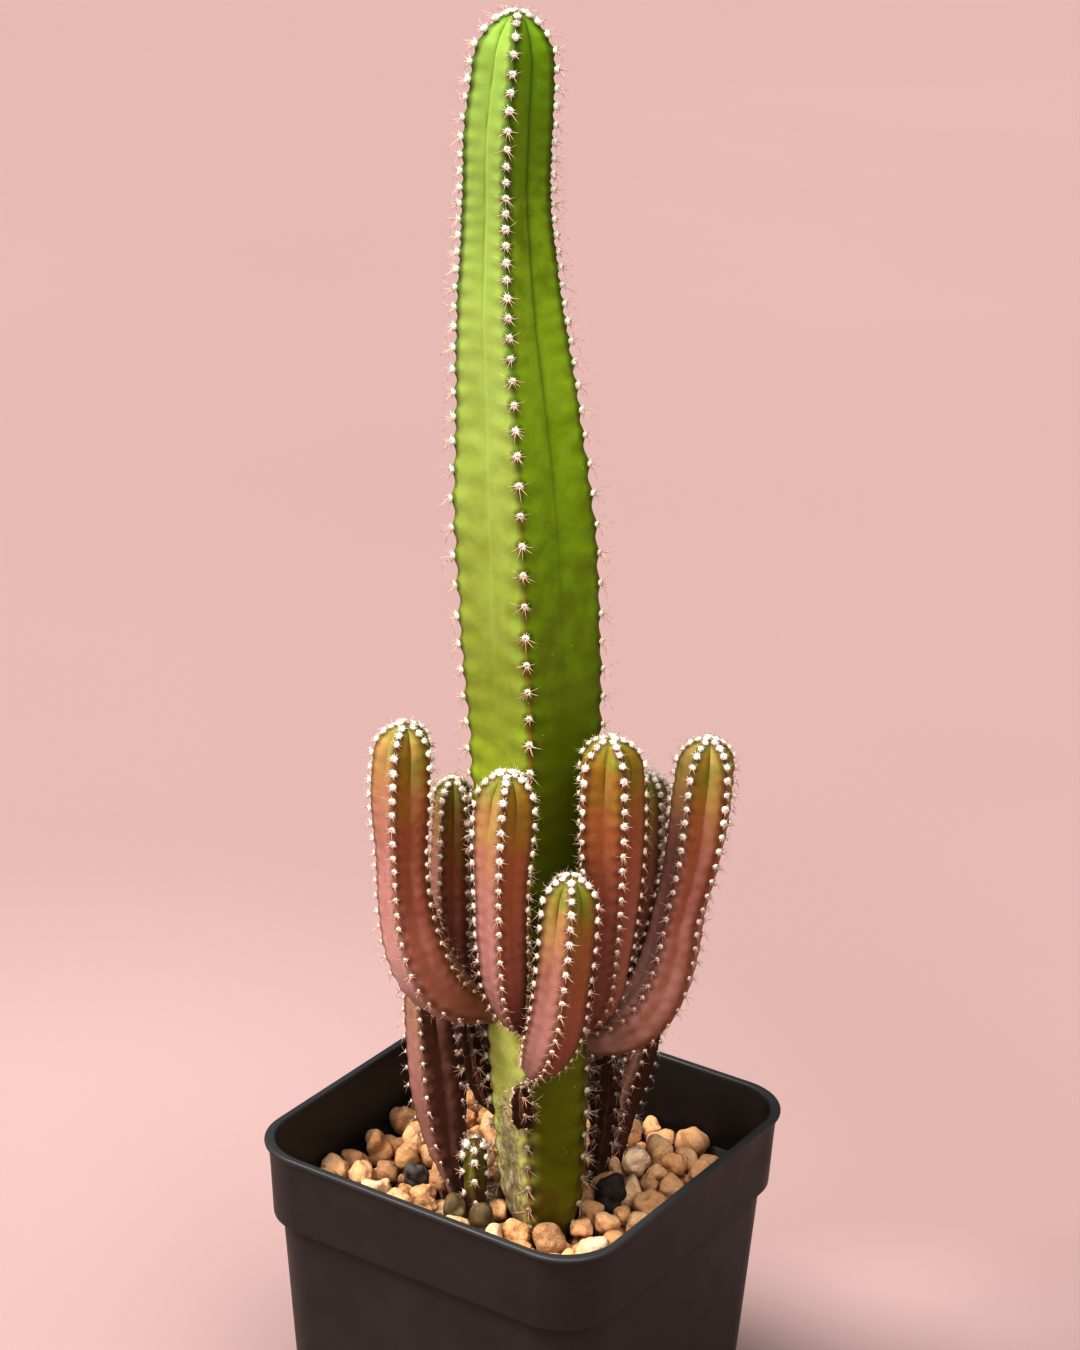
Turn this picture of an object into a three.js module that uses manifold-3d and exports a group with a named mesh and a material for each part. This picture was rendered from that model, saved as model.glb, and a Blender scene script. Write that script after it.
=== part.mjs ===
// Potted fairy castle cactus: a tall five-ribbed column with a ring of young branches round its
// lower stem, standing in a square plastic nursery pot under a layer of tan gravel.
// Millimetres, +Z up. The origin is on the surface under the middle of the pot, and X and Y run
// along the pot's sides. The plant is laid out in its own axes, X right, Y back, and turned whole.
import * as THREE from 'three';
import { mergeVertices } from 'three/addons/utils/BufferGeometryUtils.js';
import Module from 'manifold-3d';

const wasm = await Module();
wasm.setup();

// Driving dimensions of the pot
const RIM_SIDE = 90;
const POT_HEIGHT = 90;
const POT_WALL = 1.5;
const POT_FLOOR = 2;
const LIP_OVERHANG = 0.7;
const LIP_WIDTH = 1.9;
const LIP_DEPTH = 1.4;
const LIP_ROUND = 0.4;
const BAND_HEIGHT = 18.6;
const BAND_TAPER = 0.8;
const BAND_STEP = 1.6;
const BAND_CHAMFER = 0.3;
const BASE_SIDE = 75.4;
const BASE_CHAMFER = 0.8;
const CORNER_RADIUS = 13.2;
const CORNER_STEPS = 3;
const DRAIN_RADIUS = 5;
const DRAIN_SIDES = 12;
const DRAIN_OFFSET = 21;

// Driving dimensions of what fills the pot
const CLEARANCE = 0.3;
const ODD_STONE_GAP = 0.4;
const MIX_TOP = 60;
const BED_TOP = 70.8;
const STONE_PITCH = 11.5;
const STONE_SIZE = [4.8, 5.8];
const STONE_FLATNESS = 0.84;
const STONE_SINK = [-0.6, 0.7];
const STONE_ROUGHNESS = [0.86, 1.06];
const STONE_TILT = 0.4;
const STONE_JITTER = 0.7;
const STONE_WALL_GAP = 0.6;
const ROW_PITCH = 10;
const SHORT_ROW = 0.9;
const CORNER_ZONE = 4;
const CORNER_INSET = 0.93;
const STONE_SEED = 41;

// Driving dimensions of the plant
const PLANT_TURN = THREE.MathUtils.degToRad(33.5);
const FLANK_SWELL = 0.05;
const TWIST_EASE = 2.5;
const DOME_RINGS = [0.55, 0.25, 0.06];
const FIRST_AREOLE = 0.45;
const CLOSE_AREOLES = 0.1;
const OPEN_AREOLES = 0.35;
const TUFT_SIDES = 3;
const TUFT_FLARE = 1.3;
const TUFT_ROOT = 1.1;
const TUFT_RISE = 1;
const TUFT_ROOM = 1.6;
const TUFT_MARGIN = 1.8;
const TUFT_LEAN = 6;
const SPINE_SIDES = 3;
const SPINE_RADIUS = 0.3;
const SPINE_OUT = 0.75;
const SPINE_ACROSS = [0.7, 1.1];
const SPINE_ALONG = [-0.6, 0.6];
const SPINE_ROOT = 0.4;
const SPINE_MARGIN = 1;
const JOINT_GAP = 0.35;
const TUFT_ABOVE_STONES = 2;
const SEED = 7;

const COLOURS = {
  pot: 0x2e2a2a,
  mix: 0x2a1c13,
  gravel: 0xc79a62,
  greyStone: 0x55504c,
  oliveStone: 0x5d5340,
  charcoal: 0x1f1a18,
  column: 0x7d9a2c,
  branch: 0xa2625a,
  shoot: 0x8a544f,
  pup: 0x5f6f2a,
  withered: 0x5a3622,
};

// Every stem: stations along its axis from root to tip as [x, y, z, distance to the rib crests],
// the last one at the tip, with the length of its dome and how its ribs and areoles run.
const STEMS = {
  main_stem: {
    colour: 'column', ribs: 5, turn: [-28, 0], groove: [0.88, 0.72], dome: 9, flank: 2, rings: 22,
    spacing: [7.4, 11.8], tuft: 1.3, spine: 2.8, spineEvery: 2, rooted: true,
    stations: [
      [4, -11, 42, 3.6], [4.1, -11, 58, 4.8], [4.3, -11, 70, 6.8], [4.4, -10.8, 76, 9],
      [4.4, -10.5, 84, 10.4], [3.6, -10, 100, 11.3], [2.4, -10, 130, 12.3], [1.4, -10, 160, 13.5],
      [0.4, -10, 190, 14.7], [-1.5, -10, 217, 15.5], [-3.4, -10, 242, 14.8],
      [-5.1, -10, 261, 13.2], [-6.8, -10, 280, 11.4], [-7.7, -10, 299, 9.6],
      [-7.7, -10, 314, 9.6], [-7, -10, 326, 8.8], [-6.4, -10, 336.5, 7.8],
    ],
  },
  branch_far_left: {
    colour: 'branch', ribs: 5, turn: [-16, -16], groove: [0.85, 0.72], dome: 6.5, flank: 1, rings: 12,
    spacing: [6, 10.5], tuft: 1.1, spine: 1.6, spineEvery: 6,
    stations: [
      [-2, -11, 122.4, 3], [-9, -12.5, 124.2, 3.9], [-14.5, -14, 126.8, 5.7],
      [-20, -15.3, 132, 7.1], [-23.6, -16, 139.8, 7.2], [-25.9, -16, 150, 6.4],
      [-26.8, -16, 162, 6.1], [-27, -16, 175, 6.9], [-26.6, -16, 191.3, 6.2],
    ],
  },
  branch_rear_left: {
    colour: 'branch', ribs: 5, turn: [-30, -30], groove: [0.85, 0.72], dome: 5, flank: 1, rings: 9,
    spacing: [6, 10.5], tuft: 1, spine: 1.6, spineEvery: 6,
    stations: [
      [-2, -7, 119, 2.6], [-10.4, -4.6, 123.6, 3.5], [-15.8, -3, 132, 4.7],
      [-16.8, -2.8, 147, 5.1], [-16.9, -2.8, 160, 4.9], [-17, -2.9, 173.4, 4.2],
    ],
  },
  branch_front_left: {
    colour: 'branch', ribs: 5, turn: [-5, -5], groove: [0.85, 0.72], dome: 6, flank: 1, rings: 11,
    spacing: [6, 10.5], tuft: 1.1, spine: 1.6, spineEvery: 6,
    stations: [
      [0, -14, 120.5, 1.8], [-1.8, -20.5, 124.5, 2.2], [-3.6, -26, 131, 3.4],
      [-4.8, -30, 140, 5.1], [-5.5, -32.6, 151, 5.6], [-5.9, -34, 164, 5.9],
      [-5.7, -34, 176, 6.5], [-5.1, -34, 188.6, 6],
    ],
  },
  branch_front_low: {
    colour: 'branch', ribs: 5, turn: [-6, 4], groove: [0.88, 0.72], dome: 6, flank: 1, rings: 10,
    spacing: [6, 10.5], tuft: 1.2, spine: 1.8, spineEvery: 6,
    stations: [
      [0.6, -15, 112.8, 2.4], [1.8, -21.5, 115.2, 3], [3.2, -26.6, 119.4, 4.4],
      [4.7, -30.6, 125.8, 5.8], [6, -33.4, 133.4, 6.2], [6.8, -35.6, 142.6, 6],
      [7.6, -36.8, 153, 6.1], [8.1, -37, 167.3, 5.8],
    ],
  },
  branch_front_right: {
    colour: 'branch', ribs: 5, turn: [8, 22], groove: [0.85, 0.72], dome: 6.5, flank: 1, rings: 12,
    spacing: [6.4, 11], tuft: 1.2, spine: 1.8, spineEvery: 6,
    stations: [
      [4, -12.5, 119.5, 2.8], [12.5, -17.2, 124.4, 3.2], [15.9, -21, 132.5, 4],
      [16.3, -24.4, 144, 5.2], [16.4, -26.2, 157, 6.2], [16, -27, 170, 7.2],
      [15.8, -27, 182, 7.3], [15.5, -27, 193.7, 6.6],
    ],
  },
  branch_rear_right: {
    colour: 'branch', ribs: 5, turn: [36, 36], groove: [0.85, 0.72], dome: 5, flank: 1, rings: 9,
    spacing: [6, 10.5], tuft: 1, spine: 1.6, spineEvery: 6,
    stations: [
      [5, -7, 121.5, 2.8], [12.8, -5.4, 124.5, 3.6], [18.6, -5, 130, 4.3],
      [22.8, -5, 141, 4.5], [24.7, -5, 155, 4.5], [24.4, -5, 176.4, 4.2],
    ],
  },
  branch_far_right: {
    colour: 'branch', ribs: 5, turn: [-32, -32], groove: [0.88, 0.72], dome: 6.5, flank: 1, rings: 13,
    spacing: [6.4, 11], tuft: 1.1, spine: 1.6, spineEvery: 6,
    stations: [
      [5, -11.5, 117.6, 3], [12.2, -12.6, 118.2, 4.2], [18.2, -14, 120.2, 5.8],
      [24, -15, 125, 6.9], [28.2, -15, 132.2, 6.9], [30.4, -15, 141, 6.4],
      [31.7, -15, 150, 5.9], [33.8, -15, 160.5, 6.3], [35.1, -15, 172, 6.8], [36.2, -15, 189, 6.2],
    ],
  },
  basal_shoot_left: {
    colour: 'shoot', ribs: 5, turn: [-30, -20], groove: [0.86, 0.76], dome: 6, flank: 1, rings: 9,
    spacing: [6.5, 10.5], tuft: 1, spine: 1.6, spineEvery: 6, rooted: true,
    stations: [
      [-11, -4, 56, 2], [-13, -3.4, 68, 2.4], [-14.9, -3, 76, 3.2], [-17.2, -3, 85.4, 5],
      [-18.9, -3, 97.5, 6.5], [-20.4, -2.8, 110, 6.4], [-22, -2.4, 126, 5.6],
    ],
  },
  basal_shoot_right: {
    colour: 'shoot', ribs: 5, turn: [0, 0], groove: [0.86, 0.76], dome: 4, flank: 1, rings: 7,
    spacing: [6.5, 10.5], tuft: 0.9, spine: 1.5, spineEvery: 6, rooted: true,
    stations: [
      [17, 14, 56, 1.8], [18.7, 14, 68, 2.4], [20.6, 14, 78, 3], [22.6, 14, 88, 3.4],
      [25.6, 13.8, 99, 3.4], [27.6, 13.4, 109, 3],
    ],
  },
  pup: {
    colour: 'pup', ribs: 6, turn: [0, 0], groove: [0.85, 0.78], dome: 3.4, flank: 1, rings: 4,
    spacing: [5, 7], tuft: 0.9, spine: 1.4, spineEvery: 5, rooted: true,
    stations: [
      [-9.6, -8.4, 62, 1.4], [-10.2, -8.8, 71, 2], [-10.8, -9, 80, 3], [-11, -9, 90, 2.9],
    ],
  },
  withered_bud: {
    colour: 'withered', ribs: 5, turn: [0, 20], groove: [0.6, 0.6], dome: 2.5, flank: 1, rings: 4,
    spacing: [5, 7], tuft: 0.8, spine: 1.4, spineEvery: 4,
    stations: [
      [1, -14, 99, 1.4], [-0.4, -22.2, 102, 2.1], [-1, -24.6, 107, 2.6], [-1.2, -25, 112.6, 1.9],
    ],
  },
  withered_shoot_right: {
    colour: 'withered', ribs: 5, turn: [0, 40], groove: [0.6, 0.6], dome: 3, flank: 1, rings: 6,
    spacing: [9, 12], tuft: 0.9, spine: 2.4, spineEvery: 2, rooted: true,
    stations: [
      [16, 5, 58, 1.6], [16.6, 5, 72, 2.6], [17.2, 3.6, 84, 3.2], [17.8, 1.4, 97, 3.4],
      [17.2, -1.4, 109, 2.4],
    ],
  },
  withered_shoot_left: {
    colour: 'withered', ribs: 5, turn: [0, 30], groove: [0.6, 0.6], dome: 2.5, flank: 1, rings: 5,
    spacing: [8, 10], tuft: 0.8, spine: 1.6, spineEvery: 3,
    stations: [
      [0, -9, 94, 1.6], [-8.6, -8.2, 99.5, 2.2], [-11.4, -7.6, 107, 2.7], [-13.4, -7, 118, 1.8],
    ],
  },
};

// Single stones of another colour: middle in the plant's axes, size and colour
const ODD_STONES = {
  grey_stone: { colour: 'greyStone', middle: [-24.6, 4, 73.4], size: [4.2, 3.8, 3.2] },
  olive_stone_left: { colour: 'oliveStone', middle: [-14.6, -10.6, 72.6], size: [3.6, 2.8, 2.8] },
  olive_stone_right: { colour: 'oliveStone', middle: [-8.6, -15.2, 73], size: [3, 3.2, 3.6] },
  charcoal_lump: { colour: 'charcoal', middle: [19, -7, 74], size: [3.4, 3, 3.4] },
};

// A repeatable stream of numbers from 0 to 1
function seededRandom(seed) {
  let state = seed;
  return () => {
    state = (state + 0x6d2b79f5) | 0;
    let mixed = Math.imul(state ^ (state >>> 15), 1 | state);
    mixed = (mixed + Math.imul(mixed ^ (mixed >>> 7), 61 | mixed)) ^ mixed;
    return ((mixed ^ (mixed >>> 14)) >>> 0) / 4294967296;
  };
}

const lerp = THREE.MathUtils.lerp;
const STONES_TOP = BED_TOP + STONE_SIZE[1] * STONE_FLATNESS;
const between = (range, random) => lerp(range[0], range[1], random());

// Closed solids to cut and join, and back to a geometry to show
function solidFrom(geometry) {
  const bare = geometry.clone();
  bare.deleteAttribute('normal');
  bare.deleteAttribute('uv');
  const merged = mergeVertices(bare, 1e-4);
  return new wasm.Manifold(new wasm.Mesh({
    numProp: 3,
    vertProperties: new Float32Array(merged.attributes.position.array),
    triVerts: new Uint32Array(merged.index.array),
  }));
}

function geometryFrom(solid) {
  const mesh = solid.getMesh();
  const geometry = new THREE.BufferGeometry();
  geometry.setAttribute('position', new THREE.BufferAttribute(mesh.vertProperties, 3));
  geometry.setIndex(new THREE.BufferAttribute(mesh.triVerts, 1));
  const facets = geometry.toNonIndexed();
  facets.computeVertexNormals();
  return facets;
}

// A closed surface through rings of points, with a fan of faces over each end
function loft(rings, firstMiddle, lastMiddle) {
  const count = rings[0].length;
  const points = rings.flat();
  const first = points.push(firstMiddle) - 1;
  const last = points.push(lastMiddle) - 1;
  const faces = [];
  rings.slice(1).forEach((ring, index) => {
    const low = index * count;
    const high = low + count;
    for (let j = 0; j < count; j += 1) {
      const next = (j + 1) % count;
      faces.push(low + j, low + next, high + next);
      faces.push(low + j, high + next, high + j);
    }
  });
  const top = (rings.length - 1) * count;
  for (let j = 0; j < count; j += 1) {
    const next = (j + 1) % count;
    faces.push(first, next, j);
    faces.push(last, top + j, top + next);
  }
  const geometry = new THREE.BufferGeometry().setFromPoints(points);
  geometry.setIndex(faces);
  return geometry;
}

// A square ring with round corners, counterclockwise seen from above
function squareRing(halfSide, height, radius) {
  const ring = [];
  for (let corner = 0; corner < 4; corner += 1) {
    const toCorner = (corner + 0.5) * Math.PI / 2;
    const x = Math.sign(Math.cos(toCorner)) * (halfSide - radius);
    const y = Math.sign(Math.sin(toCorner)) * (halfSide - radius);
    for (let step = 0; step <= CORNER_STEPS; step += 1) {
      const angle = (corner + step / CORNER_STEPS) * Math.PI / 2;
      ring.push(new THREE.Vector3(x + radius * Math.cos(angle), y + radius * Math.sin(angle), height));
    }
  }
  return ring;
}

function squareLoft(profile) {
  const rings = profile.map(([halfSide, height]) => {
    const radius = CORNER_RADIUS * halfSide / (RIM_SIDE / 2);
    return squareRing(halfSide, height, radius);
  });
  const middle = (height) => new THREE.Vector3(0, 0, height);
  return solidFrom(loft(rings, middle(profile[0][1]), middle(profile.at(-1)[1])));
}

// The pot's outline: half the side at each height
const bandBottom = POT_HEIGHT - BAND_HEIGHT;
const bandHalfTop = RIM_SIDE / 2 - LIP_OVERHANG;
const bandHalfBottom = bandHalfTop - BAND_TAPER;
const bodyHalfTop = bandHalfBottom - BAND_STEP;
const bodyHalf = (height) => lerp(BASE_SIDE / 2, bodyHalfTop, height / bandBottom);
const bandHalf = (height) => lerp(bandHalfBottom, bandHalfTop, (height - bandBottom) / BAND_HEIGHT);
const ledge = bandBottom - POT_WALL;

function innerHalf(height) {
  const outer = height > bandBottom ? bandHalf(height) : bodyHalf(height);
  return outer - POT_WALL;
}

function makePot() {
  const lipBottom = POT_HEIGHT - LIP_DEPTH;
  const shell = squareLoft([
    [bodyHalf(0) - BASE_CHAMFER, 0],
    [bodyHalf(BASE_CHAMFER), BASE_CHAMFER],
    [bodyHalfTop, bandBottom],
    [bandHalfBottom - BAND_CHAMFER, bandBottom],
    [bandHalfBottom, bandBottom + BAND_CHAMFER],
    [bandHalfTop, lipBottom],
    [RIM_SIDE / 2, lipBottom + LIP_ROUND],
    [RIM_SIDE / 2, POT_HEIGHT - LIP_ROUND],
    [RIM_SIDE / 2 - LIP_ROUND, POT_HEIGHT],
    [RIM_SIDE / 2 - LIP_WIDTH, POT_HEIGHT],
    [bandHalfTop - POT_WALL, lipBottom],
    [bandHalfBottom - POT_WALL, bandBottom],
    [bodyHalf(ledge) - POT_WALL, ledge],
    [bodyHalf(POT_FLOOR) - POT_WALL, POT_FLOOR],
  ]);
  const drain = new THREE.CylinderGeometry(DRAIN_RADIUS, DRAIN_RADIUS, 4 * POT_FLOOR, DRAIN_SIDES);
  drain.rotateX(Math.PI / 2);
  const corners = [[1, 1], [-1, 1], [-1, -1], [1, -1]];
  return corners.reduce((pot, [sx, sy]) => {
    const hole = drain.clone().translate(sx * DRAIN_OFFSET, sy * DRAIN_OFFSET, POT_FLOOR);
    return pot.subtract(solidFrom(hole));
  }, shell);
}

// A stem's axis, rib height, twist and groove depth, looked up by the distance from its tip
const SAMPLES = 240;

function traceStem(spec) {
  const axis = new THREE.CatmullRomCurve3(
    spec.stations.map(([x, y, z]) => new THREE.Vector3(x, y, z)), false, 'catmullrom', 0.5);
  const crests = new THREE.CatmullRomCurve3(
    spec.stations.map(([, , , crest]) => new THREE.Vector3(crest, 0, 0)), false, 'catmullrom', 0.5);
  const samples = [];
  for (let i = 0; i <= SAMPLES; i += 1) {
    const t = i / SAMPLES;
    samples.push({ point: axis.getPoint(t), tangent: axis.getTangent(t), crest: crests.getPoint(t).x });
  }
  let run = 0;
  samples.toReversed().forEach((sample, index, all) => {
    run += index === 0 ? 0 : sample.point.distanceTo(all[index - 1].point);
    sample.fromTip = run;
  });
  return { spec, samples, length: run };
}

function domeFactor(fromTip, dome) {
  const depth = 1 - Math.min(fromTip / dome, 1);
  return Math.sqrt(Math.max(1 - depth * depth, 0));
}

// The stem's frame at a distance from its tip: front is the way a rib with no turn faces
function stemAt(stem, fromTip) {
  const { samples, spec, length } = stem;
  const wanted = THREE.MathUtils.clamp(fromTip, 0, length);
  let high = samples.findIndex((sample) => sample.fromTip <= wanted);
  high = Math.max(high, 1);
  const [a, b] = [samples[high - 1], samples[high]];
  const share = (a.fromTip - wanted) / (a.fromTip - b.fromTip);
  const tangent = a.tangent.clone().lerp(b.tangent, share).normalize();
  const front = new THREE.Vector3(0, -1, 0).addScaledVector(tangent, tangent.y).normalize();
  const up = 1 - wanted / length;
  return {
    point: a.point.clone().lerp(b.point, share),
    tangent,
    front,
    side: new THREE.Vector3().crossVectors(tangent, front),
    crest: lerp(a.crest, b.crest, share) * domeFactor(wanted, spec.dome),
    turn: THREE.MathUtils.degToRad(lerp(spec.turn[1], spec.turn[0], (1 - up) ** TWIST_EASE)),
    groove: lerp(spec.groove[0], spec.groove[1], up),
  };
}

// Distance from the axis to the skin, at an angle measured from the crest of a rib
function skinRadius(crest, groove, ribs, angle) {
  const half = Math.PI / ribs;
  const off = Math.abs(THREE.MathUtils.euclideanModulo(angle + half, 2 * half) - half);
  const valley = crest * groove;
  const flank = crest * valley * Math.sin(half)
    / (crest * Math.sin(off) + valley * Math.sin(half - off));
  return flank * (1 + FLANK_SWELL * Math.sin(Math.PI * off / half));
}

function onStem(place, angle, radius) {
  return place.point.clone()
    .addScaledVector(place.front, radius * Math.cos(angle))
    .addScaledVector(place.side, radius * Math.sin(angle));
}

// Points round one rib: its crest, its two flanks and the groove
function ribAngles({ ribs, flank }) {
  const half = Math.PI / ribs;
  const angles = [];
  for (let rib = 0; rib < ribs; rib += 1) {
    for (let step = 1 - flank; step <= flank; step += 1) {
      angles.push(2 * half * rib + half * step / flank);
    }
  }
  return angles;
}

function stemRing(stem, fromTip, grow) {
  const place = stemAt(stem, fromTip);
  return ribAngles(stem.spec).map((angle) => {
    const radius = skinRadius(place.crest, place.groove, stem.spec.ribs, angle) + grow;
    return onStem(place, angle + place.turn, radius);
  });
}

function stemBody(stem, grow = 0) {
  const { dome, rings } = stem.spec;
  const distances = [];
  for (let i = 0; i < rings; i += 1) {
    distances.push(lerp(stem.length, dome, i / (rings - 1)));
  }
  distances.push(...DOME_RINGS.map((share) => share * dome));
  const foot = stemAt(stem, stem.length);
  const tip = stemAt(stem, 0);
  foot.point.addScaledVector(foot.tangent, -grow);
  tip.point.addScaledVector(tip.tangent, grow);
  const skin = distances.map((distance) => stemRing(stem, distance, grow));
  return solidFrom(loft(skin, foot.point, tip.point));
}

// Areoles lie close together at the tip of a rib and further apart down the stem
function areoleDistances(stem) {
  const { spacing } = stem.spec;
  const distances = [];
  const closeUntil = CLOSE_AREOLES * stem.length;
  const openFrom = OPEN_AREOLES * stem.length;
  for (let fromTip = FIRST_AREOLE * spacing[0]; fromTip < stem.length; ) {
    distances.push(fromTip);
    const open = THREE.MathUtils.smoothstep(fromTip, closeUntil, openFrom);
    fromTip += lerp(spacing[0], spacing[1], open);
  }
  return distances;
}

const SHAFT = new THREE.Vector3(0, 1, 0);

function spike(root, direction, radius, length, sides) {
  const cone = new THREE.ConeGeometry(radius, length, sides);
  cone.translate(0, length / 2, 0);
  cone.applyQuaternion(new THREE.Quaternion().setFromUnitVectors(SHAFT, direction));
  cone.translate(root.x, root.y, root.z);
  return solidFrom(cone);
}

// The way out of the skin on a rib's crest, which leans to the tip on the dome
function outward(stem, fromTip, angle) {
  const step = 0.4;
  const place = stemAt(stem, fromTip);
  const slope = (stemAt(stem, fromTip + step).crest - place.crest) / step;
  const radial = onStem(place, angle + place.turn, 1).sub(place.point);
  return radial.addScaledVector(place.tangent, Math.min(slope, TUFT_LEAN)).normalize();
}

function clearOf(others, point, margin) {
  return others.every((other) => other.samples.every(
    (sample) => sample.point.distanceTo(point) > sample.crest + margin));
}

// A spine from the crest at an areole, leaning to one side of the rib
function makeSpine(stem, crest, out, tangent, hand, random) {
  const { tuft, spine } = stem.spec;
  const across = new THREE.Vector3().crossVectors(out, tangent).normalize();
  const aim = out.clone().multiplyScalar(SPINE_OUT)
    .addScaledVector(across, hand * between(SPINE_ACROSS, random))
    .addScaledVector(tangent, between(SPINE_ALONG, random)).normalize();
  const root = crest.clone().addScaledVector(aim, -SPINE_ROOT * tuft);
  const end = crest.clone().addScaledVector(aim, spine);
  return { end, solid: spike(root, aim, SPINE_RADIUS, spine, SPINE_SIDES) };
}

// Woolly tufts on the crests, some with a spine rooted deep in the skin
function stemTufts(stem, others, lowest) {
  const { ribs, tuft, spineEvery } = stem.spec;
  const random = seededRandom(SEED + Math.round(stem.length));
  const pieces = [];
  let count = 0;
  areoleDistances(stem).forEach((fromTip) => {
    const place = stemAt(stem, fromTip);
    for (let rib = 0; rib < ribs; rib += 1) {
      const angle = 2 * Math.PI * rib / ribs;
      const out = outward(stem, fromTip, angle);
      const crest = onStem(place, angle + place.turn, place.crest);
      const roomy = place.crest >= TUFT_ROOM * tuft && clearOf(others, crest, TUFT_MARGIN * tuft);
      if (crest.z < lowest || !roomy) continue;
      const root = crest.clone().addScaledVector(out, -TUFT_ROOT * tuft);
      pieces.push(spike(root, out, TUFT_FLARE * tuft, (TUFT_ROOT + TUFT_RISE) * tuft, TUFT_SIDES));
      count += 1;
      if (count % spineEvery !== 0) continue;
      const hand = (count / spineEvery) % 2 === 0 ? 1 : -1;
      const needle = makeSpine(stem, crest, out, place.tangent, hand, random);
      if (needle.end.z >= lowest && clearOf(others, needle.end, SPINE_MARGIN)) pieces.push(needle.solid);
    }
  });
  return pieces;
}

// A rough stone: an icosahedron with its corners moved in and out
function stone(size, random) {
  const geometry = new THREE.IcosahedronGeometry(1, 0);
  geometry.deleteAttribute('normal');
  geometry.deleteAttribute('uv');
  const rough = mergeVertices(geometry, 1e-4);
  const corners = rough.attributes.position;
  for (let i = 0; i < corners.count; i += 1) {
    const reach = between(STONE_ROUGHNESS, random);
    corners.setXYZ(i, corners.getX(i) * reach, corners.getY(i) * reach, corners.getZ(i) * reach);
  }
  rough.scale(...size);
  return rough;
}

function largestPiece(solid) {
  return solid.decompose().sort((a, b) => b.volume() - a.volume())[0];
}

function turned(point) {
  return point.clone().applyAxisAngle(new THREE.Vector3(0, 0, 1), PLANT_TURN);
}

// The bed: a slab with one layer of stones standing out of it, row by row
function makeGravel() {
  const random = seededRandom(STONE_SEED);
  const bottom = MIX_TOP + CLEARANCE;
  let bed = squareLoft([
    [innerHalf(bottom) - CLEARANCE, bottom],
    [innerHalf(ledge) - CLEARANCE, ledge - CLEARANCE],
    [innerHalf(ledge) - CLEARANCE, BED_TOP],
  ]);
  const reach = innerHalf(ledge) - STONE_SIZE[1] - STONE_WALL_GAP;
  const rows = Math.floor(2 * reach / ROW_PITCH);
  const jitter = () => between([-STONE_JITTER, STONE_JITTER], random);
  for (let row = 0; row <= rows; row += 1) {
    const y = lerp(-reach, reach, row / rows);
    const columns = Math.floor(2 * reach / STONE_PITCH) - (row % 2);
    for (let column = 0; column <= columns; column += 1) {
      const x = lerp(-reach, reach, column / columns) * (row % 2 ? SHORT_ROW : 1);
      const width = between(STONE_SIZE, random);
      const depth = width * between([0.8, 1], random);
      const rock = stone([width, depth, width * STONE_FLATNESS], random);
      rock.rotateX(between([-STONE_TILT, STONE_TILT], random));
      rock.rotateZ(Math.PI * random());
      const inCorner = Math.min(Math.abs(x), Math.abs(y)) > reach - CORNER_ZONE;
      const inset = inCorner ? CORNER_INSET : 1;
      rock.translate(x * inset + jitter(), y * inset + jitter(), BED_TOP - between(STONE_SINK, random));
      bed = bed.add(solidFrom(rock));
    }
  }
  return bed;
}

function makeMix() {
  const bottom = POT_FLOOR + CLEARANCE;
  return squareLoft([
    [innerHalf(bottom) - CLEARANCE, bottom],
    [innerHalf(MIX_TOP) - CLEARANCE, MIX_TOP],
  ]);
}

const cactus = new THREE.Group();
const plant = new THREE.Group();
plant.rotation.z = PLANT_TURN;
cactus.add(plant);

function addPart(parent, name, solid, colour, roughness) {
  const material = new THREE.MeshStandardMaterial({ color: COLOURS[colour], roughness, metalness: 0 });
  const mesh = new THREE.Mesh(geometryFrom(solid), material);
  mesh.name = name;
  parent.add(mesh);
}

const stems = Object.entries(STEMS).map(([name, spec]) => ({ name, ...traceStem(spec) }));
const mainStem = stems[0];
const rooted = stems.filter((stem) => stem.spec.rooted);
const toPot = (solid) => solid.rotate(0, 0, THREE.MathUtils.radToDeg(PLANT_TURN));
const rootHoles = rooted.map((stem) => toPot(stemBody(stem, CLEARANCE)));

addPart(cactus, 'pot', makePot(), 'pot', 0.45);
addPart(cactus, 'potting_mix', rootHoles.reduce((mix, hole) => mix.subtract(hole), makeMix()), 'mix', 1);

let gravel = rootHoles.reduce((bed, hole) => bed.subtract(hole), makeGravel());
Object.entries(ODD_STONES).forEach(([name, { colour, middle, size }], index) => {
  const place = (grow) => {
    const rock = stone(size.map((half) => half + grow), seededRandom(STONE_SEED + index));
    const at = turned(new THREE.Vector3(...middle));
    return solidFrom(rock.translate(at.x, at.y, at.z));
  };
  gravel = gravel.subtract(place(ODD_STONE_GAP));
  const cut = rootHoles.reduce((rock, hole) => rock.subtract(hole), place(0));
  addPart(cactus, name, largestPiece(cut), colour, 0.9);
});
addPart(cactus, 'gravel', largestPiece(gravel), 'gravel', 0.95);

stems.forEach((stem) => {
  const others = stems.filter((other) => other !== stem);
  let body = stemBody(stem);
  if (!stem.spec.rooted) body = largestPiece(body.subtract(stemBody(mainStem, JOINT_GAP)));
  const tufts = stemTufts(stem, others, STONES_TOP + TUFT_ABOVE_STONES);
  body = tufts.reduce((whole, piece) => whole.add(piece), body);
  addPart(plant, stem.name, largestPiece(body), stem.spec.colour, 0.6);
});

export default cactus;
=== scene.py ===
# Potted fairy castle cactus, dressed over its solids: fine ribbed skins with woolly areoles and
# spines, a bed of loose gravel and a moulded pot. Sizes are in millimetres unless a comment says
# otherwise, and turn to metres where a mesh is made.
import itertools
import math

import bpy
import numpy as np
from mathutils import Matrix, Vector


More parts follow.
